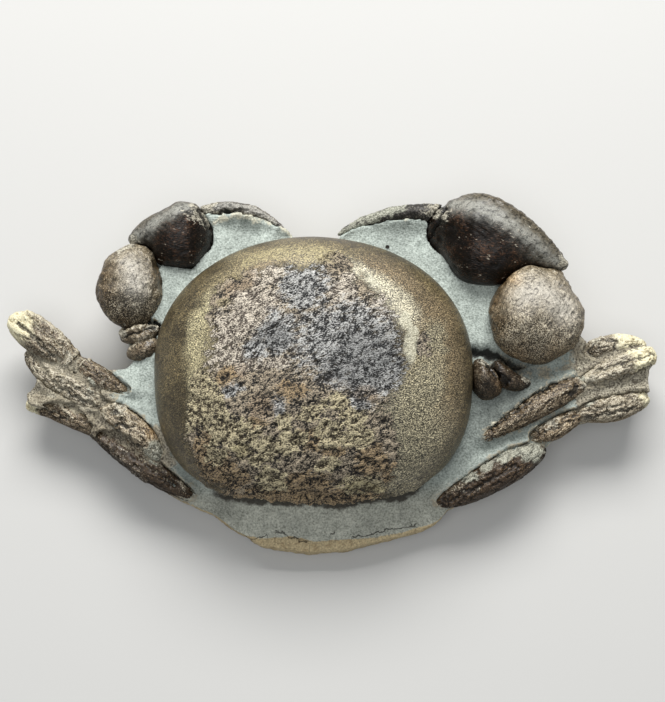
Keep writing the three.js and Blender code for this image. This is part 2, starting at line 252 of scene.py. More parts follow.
# %% [markdown]
# A shape tree gets named inputs for its sizes. A modifier knows an input by the identifier of its
# socket, not by its name, so the helper that runs a tree looks the identifier up. It then swaps the
# object's mesh for the evaluated result and takes the modifiers off, which leaves a plain mesh.

# %% Shape trees
def new_tree(name, **sizes):
    tree = bpy.data.node_groups.new(name, "GeometryNodeTree")
    tree.interface.new_socket("Geometry", in_out="INPUT", socket_type="NodeSocketGeometry")
    tree.interface.new_socket("Geometry", in_out="OUTPUT", socket_type="NodeSocketGeometry")
    for label, value in sizes.items():
        socket = tree.interface.new_socket(label, in_out="INPUT", socket_type="NodeSocketFloat")
        socket.default_value = value
    start = tree.nodes.new("NodeGroupInput")
    wires = {label: Wire(tree, start.outputs[label]) for label in sizes}
    return tree, Wire(tree, start.outputs["Geometry"]), wires


def end_tree(geometry, material):
    """Ends a tree the way each one ends: smooth, real geometry, with its material."""
    tree = geometry.tree
    smooth = add(tree, "GeometryNodeSetShadeSmooth", {"Geometry": geometry})
    real = add(tree, "GeometryNodeRealizeInstances", {"Geometry": smooth})
    finished = add(tree, "GeometryNodeSetMaterial", {"Geometry": real, "Material": material})
    end = tree.nodes.new("NodeGroupOutput")
    tree.links.new(finished.socket, end.inputs["Geometry"])


def settle(thing):
    """Works out an object's modifiers and removes them, so that it is a plain mesh."""
    bpy.context.view_layer.update()
    evaluated = thing.evaluated_get(bpy.context.evaluated_depsgraph_get())
    mesh = bpy.data.meshes.new_from_object(evaluated)
    thing.modifiers.clear()
    thing.data = mesh
    return thing


def run_tree(thing, tree, **values):
    modifier = thing.modifiers.new(tree.name, "NODES")
    modifier.node_group = tree
    for item in tree.interface.items_tree:
        if item.name in values:
            modifier[item.identifier] = float(values[item.name])
    return settle(thing)


print("shape trees ready")

# %% [markdown]
# What is done to a mesh by hand is done to all its points at once. They are read as a table with a row
# for each point, moved, and written back.

# %% Meshes as tables
def points_of(mesh):
    flat = np.empty(len(mesh.vertices) * 3)
    mesh.vertices.foreach_get("co", flat)
    return flat.reshape(-1, 3)


def normals_of(mesh):
    flat = np.empty(len(mesh.vertices) * 3)
    mesh.vertex_normals.foreach_get("vector", flat)
    return flat.reshape(-1, 3)


def set_points(mesh, points):
    mesh.vertices.foreach_set("co", points.ravel())
    mesh.update()


def keep_values(mesh, name, values):
    """Keeps a number, or a triple, for each point under a name."""
    kind, field = ("FLOAT_VECTOR", "vector") if values.ndim == 2 else ("FLOAT", "value")
    layer = mesh.attributes.new(name, kind, "POINT")
    layer.data.foreach_set(field, values.ravel())


def climb(values, low, high):
    """What step does, for a table of values."""
    share = np.clip((values - low) / (high - low), 0, 1)
    return share * share * (3 - 2 * share)


def triangles_in(thing):
    return sum(len(p.vertices) - 2 for p in thing.data.polygons)


def report(thing):
    points = points_of(thing.data) / MM
    low, high = np.round(points.min(0), 1), np.round(points.max(0), 1)
    print(f"{thing.name}: {triangles_in(thing)} triangles, {low} to {high} mm")


print("tables ready")

# %% [markdown]
# ## Finishes
#
# Every finish starts in the same way: the place of a point in millimetres, which the noises read. A fossil's
# colour and its fine relief come from the same noise, and the finish darkens the relief's hollows and
# lightens its high spots, which is painted shade and painted light.

# %% A finish
def linear(*rgb):
    """A colour as seen on a screen, 0 to 255, as the light it stands for."""
    shares = [c / 255 for c in rgb]
    return (*(s / 12.92 if s < 0.04045 else ((s + 0.055) / 1.055) ** 2.4 for s in shares), 1)


def mixed(a, b, share):
    tree = share.tree
    inputs = {0: share, 6: a, 7: b}
    return add(tree, "ShaderNodeMix", inputs, output=2, data_type="RGBA")


def two_tone(dark, light, value, low, high):
    """A mix of two screen colours: dark where the value is low, and light where it is high."""
    return mixed(linear(*dark), linear(*light), ramp(value, low, high))


def cast(colour, factors, share):
    """The colour with its red, green and blue scaled, as far as the share goes."""
    return mixed(colour, vector("MULTIPLY", colour, factors), share)


DARKEST_GRAIN = 0.15


def gritty(colour, grain, amount):
    """The same colour, lighter and darker from grain to grain."""
    strength = ((grain - 0.5) * amount + 1).math("MAXIMUM", DARKEST_GRAIN)
    inputs = {0: colour if isinstance(colour, Wire) else colour[:3], "Scale": strength}
    return add(grain.tree, "ShaderNodeVectorMath", inputs, operation="SCALE")


def new_finish(name):
    """A material with the place of a point in millimetres, from the object's own coordinates."""
    material = bpy.data.materials.new(name)
    material.use_nodes = True
    tree = material.node_tree
    place = scaled(add(tree, "ShaderNodeTexCoord", output="Object"), 1 / MM)
    return material, tree, place


def end_finish(material, colour, roughness, height, depth, specular=0.5):
    """Joins colour, roughness and a bump of a given depth to the material's shader."""
    tree = material.node_tree
    shader = tree.nodes["Principled BSDF"]
    shader.inputs["Specular IOR Level"].default_value = specular
    bump = add(tree, "ShaderNodeBump", {"Height": height, "Distance": depth, "Strength": 1.0})
    tree.links.new(colour.socket, shader.inputs["Base Color"])
    tree.links.new(roughness.socket, shader.inputs["Roughness"])
    tree.links.new(bump.socket, shader.inputs["Normal"])
    return material


# %% [markdown]
# ## The shell
#
# The shell follows a rule, so Geometry Nodes can draw it: a half sphere whose margin is a squarish
# oval, wider than long, with its crown moved forward. A sphere's poles pinch, so the tree starts from
# a square grid and bends it into a disc, then folds the disc over the dome and closes it below.
#
# Its markings are patches: a few ovals for each mineral, and some for painted light and shade, laid out in
# millimetres and frayed by noise. The tree keeps each kind of patch on the mesh, and both the relief and the
# finish read it.

# %% Patches on the shell: x, y, half length, half depth, and a turn in degrees where there is one
PATCHES = {
    "rough": [
        (-6.9, 0.5, 25.5, 23), (-13.1, -20.4, 22.5, 15.3), (-24.6, 13.5, 8, 9, -35), (6.7, -24.1, 11.9, 9.9),
        (23.9, 3.5, 1.5, 3.2), (1, 24.6, 4, 3.4), (-7, -33, 22, 5.5), (-27, -23, 10.5, 10),
        (-33.4, -12, 5, 8.5),
    ],
    "cream": [(19.6, 9.2, 1.6, 2.6, 12), (20.9, 3.4, 1.9, 5.2, -2), (11, 19.6, 2.6, 1, -38)],
    "pale": [(8, 21.6, 4.6, 2.4, -40), (14, 17.2, 5.6, 3.4, -40), (18.8, 12.2, 5, 3.4, -55)],
    # partly a cream film, partly painted sheen: a pale band along the left flank
    "cream_and_sheen": [
        (-32.6, 14.6, 4, 1.9, 55), (-35.2, 9, 5, 2.4, 72), (-35.9, 2, 6, 2.7, 85), (-35.8, -6, 5, 2.6, 90),
    ],
    # painted shade: a soft dark patch that dims part of the crown
    "painted_crown_shade": [(11.2, 0.2, 10.2, 7.4), (4, -5, 6.5, 3.4), (-15, 4.4, 4.6, 2.8)],
    "yellow": [
        (-14, 28.2, 6.4, 2.4, 8), (-4.7, 27.6, 5.8, 2.4, -6), (-20.9, 26, 2.9, 1.6, 25),
        (-23.4, -24.4, 2.3, 1.6), (8.5, -33.5, 5.2, 1.3), (-28.7, 14.4, 1.8, 1.2),
    ],
    "tan": [
        (26.9, 9.9, 6.6, 7.8), (30, -0.1, 5.5, 9.3), (17.2, 22, 9.5, 3.8, -30), (-18.5, 22.5, 5.2, 3, 25),
        (29, -12.7, 5, 7.7),
    ],
    # painted light: ovals round the crown where the skin grows lighter towards the top of the dome
    "painted_top_light": [
        (-32, -3.8, 5.3, 14.7), (23.8, -6.6, 5.9, 11.2), (-10.5, 27, 15, 4.3), (-27, 19.4, 7.1, 3.9, 35),
    ],
    "slate": [
        (4.4, 2.7, 13.6, 10.4), (11.2, -3.9, 7.6, 5.8), (-6.9, 18.3, 6, 6.4), (-13.7, 5.5, 5.1, 5.1),
        (-19.3, 0.5, 2.8, 2.5), (-25.6, -8.5, 2.4, 1.7), (-13.6, -13.9, 2, 3.2), (7.8, -12.8, 2.5, 2.4),
        (14.6, -7.1, 4, 2.8),
    ],
    "pink": [
        (-25.2, 7.1, 6.4, 6), (-19.4, 13.8, 7.4, 4), (-13.1, 9, 3.4, 2.4), (-7.7, 3.2, 3.4, 2.5),
        (-6.4, 20.4, 2.8, 2), (-22.7, -1.6, 5.6, 2.4), (-13.8, -2.6, 3.4, 1.8), (3, -7.4, 4.4, 1.6),
        (3.3, 17.2, 3.4, 4.3), (13.4, 12.6, 4.4, 3.2), (-29.6, 2, 3.6, 5), (-17.4, 20.8, 4.4, 2.8, 25),
    ],
    "khaki": [
        (-34.4, -11.6, 4.6, 7), (-28.5, -18.9, 3.5, 3.2), (-23.9, -20.7, 4, 3.7), (-12, -17.2, 2.3, 1.9),
        (6.1, -16.6, 2.8, 2), (2.1, -12.9, 2.8, 2.2), (-4.6, -15, 3.4, 2.1), (-16.2, -31.8, 3.8, 2.4),
        (-0.1, -20.4, 3.4, 2.7), (-10.3, -21.4, 3.4, 2.3), (-14.9, -24, 4, 2.1), (-1.3, -27.7, 2.8, 1.8),
        (-31, -25.1, 2.4, 2.1), (-18.3, -26.6, 2.9, 1.6), (8.5, -32.8, 5.2, 1.8), (6.7, -21.4, 4, 2.6),
        (-30.6, -13.6, 2.8, 4.2),
    ],
    "rust": [
        (-23.6, -3.8, 1.9, 1.7), (-18.2, -13.3, 3.5, 2.8), (9.2, -10, 2.4, 2.2), (-25, 18.4, 4.4, 2, 30),
    ],
    "bark": [
        (-5.8, -21.4, 4.5, 2.3), (10.7, -27.1, 4.6, 3.6), (-5.3, -32.3, 6.3, 2.2), (-33.6, -24.4, 3.2, 4.6),
        (-26, -31, 4.1, 2.5), (-20.5, -18.1, 2.8, 2.1), (-10.3, -10.2, 4.5, 1.8), (1, -24.6, 3.4, 1.9),
        (-13.3, -32.8, 3.5, 1.5), (-27.6, -5.6, 2.2, 2.8), (17.1, -29.5, 3.5, 2.5), (-6, -36, 22, 2.4),
        (-30, -29, 6, 4),
    ],
    "granular": [(20.9, -17.8, 9.9, 14), (15.4, -30.1, 9.3, 4.5), (26, -6.3, 5.3, 8.4), (27, 5, 3, 5)],
}
PATCH_FRAY = {
    "rough": 3.6, "granular": 4.0, "cream": 1.2, "yellow": 2.0, "slate": 3.4, "pink": 3.4, "khaki": 3.2,
}
PATCH_BLUR = {
    "tan": 0.6, "painted_top_light": 0.6, "pale": 0.7, "cream_and_sheen": 0.8, "painted_crown_shade": 0.7, "granular": 0.5, "rough": 0.12,
    "cream": 0.4,
}
FRAY, BLUR = 2.8, 0.5
print(sum(map(len, PATCHES.values())), "patches of", len(PATCHES), "kinds")

# %% The tree that makes the dome
def patch_mask(x, y, rows, blur):
    """1 inside any of the ovals, falling to 0 a little outside them."""
    mask = None
    for centre_x, centre_y, half_x, half_y, *turn in rows:
        turn = math.radians(turn[0]) if turn else 0
        c, s = math.cos(turn), math.sin(turn)
        dx, dy = x - centre_x, y - centre_y
        along = dx * (c / half_x) + dy * (s / half_x)
        aside = dy * (c / half_y) - dx * (s / half_y)
        here = step((along * along + aside * aside).math("SQRT"), 1 + blur, 1 - blur)
        mask = here if mask is None else mask.math("MAXIMUM", here)
    return mask


def turned(place, degrees):
    """The same place turned about the vertical, so that a stretch can follow a slant."""
    inputs = {"Vector": place, "Axis": (0, 0, 1), "Angle": math.radians(degrees)}
    return add(place.tree, "ShaderNodeVectorRotate", inputs)


DOME_GRID = (322, 300)
RIM_SHARE = 0.9
SLANT = -22
CRUMB_SIZE, LUMP_SIZE, SWELL_SIZE, TEAR_SIZE = 0.8, 2.6, 20, 3.6
WRINKLE_EDGE = (0.055, 0.0)
TORN_BEHIND = (-27, -35)
TORN_BELOW = (29, 22)


def dome_tree(material):
    tree, _, size = new_tree(
        "shell_dome", half_width=43.6 * MM, front_reach=34.4 * MM, rear_reach=38.8 * MM, front_corners=2.05,
        rear_corners=2.75, centre_x=-4.9 * MM, centre_y=2.0 * MM, rim_height=18.5 * MM, rim_slope=0.05,
        rise=24 * MM, drop=7 * MM, crown_forward=5 * MM, swell=0.5, crown_wear=0.3, crumb_depth=0.9,
        lump_depth=1.7, wrinkle_depth=0.35, skin_lumps=0.12, skin_grains=0.05, granular_grains=0.16,
        tear_depth=6.0,
    )
    grid = add(tree, "GeometryNodeMeshGrid", {
        "Size X": 2.0, "Size Y": 2.0, "Vertices X": DOME_GRID[0], "Vertices Y": DOME_GRID[1],
    })
    u, v, _ = parts(add(tree, "GeometryNodeInputPosition"))
    across = u * (1 - v * v / 2).math("SQRT")
    ahead = v * (1 - u * u / 2).math("SQRT")
    reach = (across * across + ahead * ahead).math("SQRT")
    angle = ahead.math("ARCTAN2", across)
    quarter = math.pi / 2
    over = add(tree, "ShaderNodeMapRange", {"Value": reach, "From Max": RIM_SHARE, "To Max": quarter})
    under = add(tree, "ShaderNodeMapRange", {"Value": reach, "From Min": RIM_SHARE, "To Max": quarter})
    fold = over + under
    level, spread = fold.math("COSINE"), fold.math("SINE").math("MAXIMUM", 1e-6)
    top = level.math("GREATER_THAN", 0)
    front = ahead.math("GREATER_THAN", 0)
    corners = size["rear_corners"] + (size["front_corners"] - size["rear_corners"]) * front
    length = size["rear_reach"] + (size["front_reach"] - size["rear_reach"]) * front
    side = (angle.math("COSINE").math("ABSOLUTE") / size["half_width"]) ** corners
    way = (angle.math("SINE").math("ABSOLUTE") / length) ** corners
    margin = (side + way) ** (-1 / corners)
    radius = margin * spread ** (0.75 + 0.15 * top)
    rise = level.math("MAXIMUM", 0)
    forward = radius * angle.math("SINE") + size["crown_forward"] * rise * rise
    height = size["rim_height"] + size["rim_slope"] * forward + size["rise"] * rise ** 0.96
    height = height + size["drop"] * level.math("MINIMUM", 0)
    place = joined(size["centre_x"] + radius * angle.math("COSINE"), size["centre_y"] + forward, height)
    dome = add(tree, "GeometryNodeSetPosition", {"Geometry": grid, "Position": place})
    dome = add(tree, "GeometryNodeMergeByDistance", {"Geometry": dome, "Distance": 0.01 * MM})

    spot = scaled(add(tree, "GeometryNodeInputPosition"), 1 / MM)
    x, y, z = parts(spot)
    far_x, far_y = noise(spot, 7, 2, seed=1) - 0.5, noise(spot, 7, 2, seed=2) - 0.5
    near_x, near_y = noise(spot, 1.6, 2, seed=3) - 0.5, noise(spot, 1.6, 2, seed=4) - 0.5
    for name, rows in PATCHES.items():
        fray = PATCH_FRAY.get(name, FRAY)
        wander_x = far_x * (2 * fray) + near_x * fray
        wander_y = far_y * (2 * fray) + near_y * fray
        dome = keep(dome, name, patch_mask(x + wander_x, y + wander_y, rows, PATCH_BLUR.get(name, BLUR)))

    rough = stored(tree, "rough")
    smooth_share = 1 - rough
    flaked = turned(spot, SLANT)
    crumbs = noise(flaked, CRUMB_SIZE, 2, 0.6, seed=5, stretch=(1.7, 0.8, 1)) - 0.5
    lumps = noise(flaked, LUMP_SIZE, 3, 0.6, seed=6, stretch=(1.4, 0.85, 1)) - 0.5
    swell = noise(spot, SWELL_SIZE, 1, seed=7) - 0.5
    grains = noise(spot, CRUMB_SIZE, 1, seed=8) - 0.5
    tears = noise(spot, TEAR_SIZE, 3, 0.6, seed=9, stretch=(1.5, 1, 1)) - 0.56
    torn = step(y, *TORN_BEHIND) * step(z, *TORN_BELOW) * tears
    winding = noise(flaked, LUMP_SIZE, 3, 0.6, seed=10, stretch=(1.6, 0.9, 1)) - 0.5
    wrinkle = step(winding.math("ABSOLUTE"), *WRINKLE_EDGE)
    relief = crumbs * size["crumb_depth"] + lumps * size["lump_depth"] - wrinkle * size["wrinkle_depth"]
    relief = relief * rough
    dome = keep(dome, "relief", relief + 0.5)
    dome = keep(dome, "wrinkle", wrinkle * rough)
    skin_grains = size["skin_grains"] + size["granular_grains"] * stored(tree, "granular")
    skin_relief = lumps * size["skin_lumps"] + grains * skin_grains
    offset = relief + swell * size["swell"] - rough * size["crown_wear"]
    offset = offset + smooth_share * skin_relief + torn * size["tear_depth"]
    push = scaled(add(tree, "GeometryNodeInputNormal"), offset * MM)
    shaped = add(tree, "GeometryNodeSetPosition", {"Geometry": dome, "Offset": push})
    end_tree(shaped, material)
    return tree


# %% [markdown]
# The shell's finish has three layers. The skin is olive-brown and lightly polished. On the crown it is gone,
# and grains of dark and pale minerals lie side by side, so each mineral is a pair of colours that a fine
# noise picks from. Its patches fray into one another, apart from one patch of painted shade, which only dims
# what lies under it, and khaki, which stands in islands. Cream and yellow films cover what is left between
# skin and crown. The skin grows lighter towards the crown, which is painted light, and a pale band along the
# left flank is partly a cream film and partly painted sheen.

# %% Colours of the shell, as seen on a screen
SKIN = (68, 60, 42), (92, 82, 58)
SKIN_FILMS_AND_LIGHT = {  # patch: colour, how far it covers
    # painted light: the skin lighter towards the top of the dome
    "painted_top_light": ((140, 129, 99), 0.8),
    "tan": ((126, 111, 86), 0.65),
    # partly a cream film, partly painted sheen along the left flank
    "cream_and_sheen": ((168, 160, 128), 0.75),
    "pale": ((186, 180, 157), 0.85),
    "granular": ((130, 124, 103), 0.85),
}
BARE_CROWN = (12, 9, 7), (190, 175, 151)
CROWN_MINERALS_AND_SHADE = {  # patch: dark grains, pale grains, softness of its edge, how far it covers
    "pink": ((80, 70, 61), (230, 220, 203), 0.4, 0.9),
    "slate": ((8, 9, 12), (206, 206, 203), 0.45, 1.0),
    # the next entry is painted shade, not a mineral: it dims part of the crown
    "painted_crown_shade": ((4, 5, 7), (134, 135, 134), None, 0.75),
    "bark": ((16, 12, 8), (184, 158, 119), 0.3, 0.85),
    "rust": ((34, 26, 19), (162, 134, 102), 0.45, 0.4),
    "khaki": ((60, 50, 34), (216, 204, 166), 0.14, 0.9),
}
CREAM_FILM = (140, 135, 114), (212, 209, 187)
YELLOW_FILM = (94, 84, 58), (176, 166, 124)
print(len(SKIN_FILMS_AND_LIGHT), "films on the skin,", len(CROWN_MINERALS_AND_SHADE), "minerals on the crown")

# %% Shell finish: the sizes of its grains in millimetres, then the finish
FLECK_SIZE, DUST_SIZE = 0.36, 0.3
SHELL_CLUMP, SHELL_CLOUD = 1.3, 9


def shell_finish():
    material, tree, place = new_finish("shell_skin")
    slanted = turned(place, SLANT)
    fleck = noise(slanted, FLECK_SIZE, 1, 0.6, seed=11, stretch=(1.4, 0.7, 1))
    clump = noise(slanted, SHELL_CLUMP, 2, 0.6, seed=12, stretch=(1.6, 0.8, 1))
    cloud = noise(place, SHELL_CLOUD, 2, 0.5, seed=13)
    dust = noise(place, DUST_SIZE, 1, 0.6, seed=14)
    relief, wrinkle = stored(tree, "relief"), stored(tree, "wrinkle")
    # darker in the relief's hollows and along its wrinkles, lighter on its high spots: painted shade and
    # painted light
    tone = (fleck - 0.5) * 1.5 + (dust - 0.5) * 0.7 + (clump - 0.5) * 0.35 + (relief - 0.5) * 0.35
    tone = tone - wrinkle * 0.26 + 0.05
    dither = (clump - 0.5) * 2.4 + (fleck - 0.5) * 1.5 + (cloud - 0.5) * 0.6
    islands = (clump - 0.5) * 3.2 + (fleck - 0.5) * 0.7 - wrinkle * 0.5 + 0.36

    def share(name, soft, mix=1.0, fray=dither):
        """How far a patch covers: as kept, or with its edge frayed where it has a softness."""
        patch = stored(tree, name)
        if soft is None:
            return patch
        return step(patch + fray * mix, 0.5 - soft, 0.5 + soft) * ramp(patch, 0.0, 0.25)

    def grain_pair(dark, light):
        return two_tone(dark, light, tone, -0.2, 0.22)

    skin = mixed(linear(*SKIN[0]), linear(*SKIN[1]), step(cloud + (clump - 0.5) * 0.6, 0.36, 0.66))
    for name, (film, cover) in SKIN_FILMS_AND_LIGHT.items():
        skin = mixed(skin, linear(*film), stored(tree, name) * cover)
    skin = gritty(skin, fleck, 4.2 + 2.6 * stored(tree, "granular"))
    skin = gritty(gritty(skin, dust, 4.6), clump, 0.8)
    crown = grain_pair(*BARE_CROWN)
    for name, (dark, light, soft, cover) in CROWN_MINERALS_AND_SHADE.items():
        fray = islands if name == "khaki" else dither
        crown = mixed(crown, grain_pair(dark, light), share(name, soft, fray=fray) * cover)
    edge = step(stored(tree, "rough") + dither, 0.25, 0.7) * ramp(stored(tree, "rough"), 0.0, 0.2)
    colour = mixed(skin, crown, edge)
    colour = mixed(colour, grain_pair(*CREAM_FILM), share("cream", 0.3, mix=0.4) * 0.85)
    colour = mixed(colour, grain_pair(*YELLOW_FILM), share("yellow", 0.4) * 0.5)
    gloss = 0.4 + 0.22 * edge + 0.3 * (fleck - 0.5)
    height = fleck * (0.45 + 1.15 * edge) + clump * 0.9 * edge
    return end_finish(material, colour, gloss, height, 0.42 * MM)


shell_material = shell_finish()
shell = run_tree(new_object("fossil_shell", bpy.data.meshes.new("fossil_shell")), dome_tree(shell_material))
report(shell)

# %% [markdown]
# ## Limbs: from a solid to a body
#
# The claws and legs already have their solids, in facets. Subdivision rounds the facets but also
# shrinks the solid, so the corners are pushed outward until the rounded body passes through them.
# A voxel remesh then gives every limb the same fine, even mesh, and smoothing takes the steps away.

# %% Rounding a solid
WELD = 0.002 * MM
FITTING_SHARE = 0.8
ROUNDING_LEVELS = 2
RELAX_FACTOR = 0.5


def welded(node):
    """A copy of a solid's mesh with its loose triangles joined."""
    shape = bmesh.new()
    shape.from_mesh(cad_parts[node].data)
    bmesh.ops.remove_doubles(shape, verts=shape.verts, dist=WELD)
    mesh = bpy.data.meshes.new(node)
    shape.to_mesh(mesh)
    shape.free()
    return mesh


def rounded(name, node, voxel, fitting, smoothing):
    """A finely meshed copy of a solid. With fitting, it is rounded and fitted in so many rounds."""
    thing = new_object(name, welded(node))
    if fitting:
        thing.modifiers.new("round", "SUBSURF").levels = ROUNDING_LEVELS
        goal = points_of(thing.data)
        for _ in range(fitting):
            bpy.context.view_layer.update()
            curved = thing.evaluated_get(bpy.context.evaluated_depsgraph_get()).data
            miss = goal - points_of(curved)[:len(goal)]
            set_points(thing.data, points_of(thing.data) + FITTING_SHARE * miss)
        print(node, "misses its corners by", round(np.abs(miss).max() / MM, 2), "mm")
    remesh = thing.modifiers.new("even", "REMESH")
    remesh.mode = "VOXEL"
    remesh.voxel_size = voxel
    relax = thing.modifiers.new("relax", "SMOOTH")
    relax.factor = RELAX_FACTOR
    relax.iterations = smoothing
    return settle(thing)


print("rounding ready")

# %% [markdown]
# ## Strokes
#
# Ribs, grooves, joints and veins are lines on the fossil. Each is a stroke: a few points in plan, in
# millimetres, with a half width and a height. A stroke with a negative height is a groove. The line
# is drawn on the upper side of the piece that it is listed under, and how far a point lies from it,
# in plan, says how much the surface moves. The last number tints it: pale above 0 and dark below.

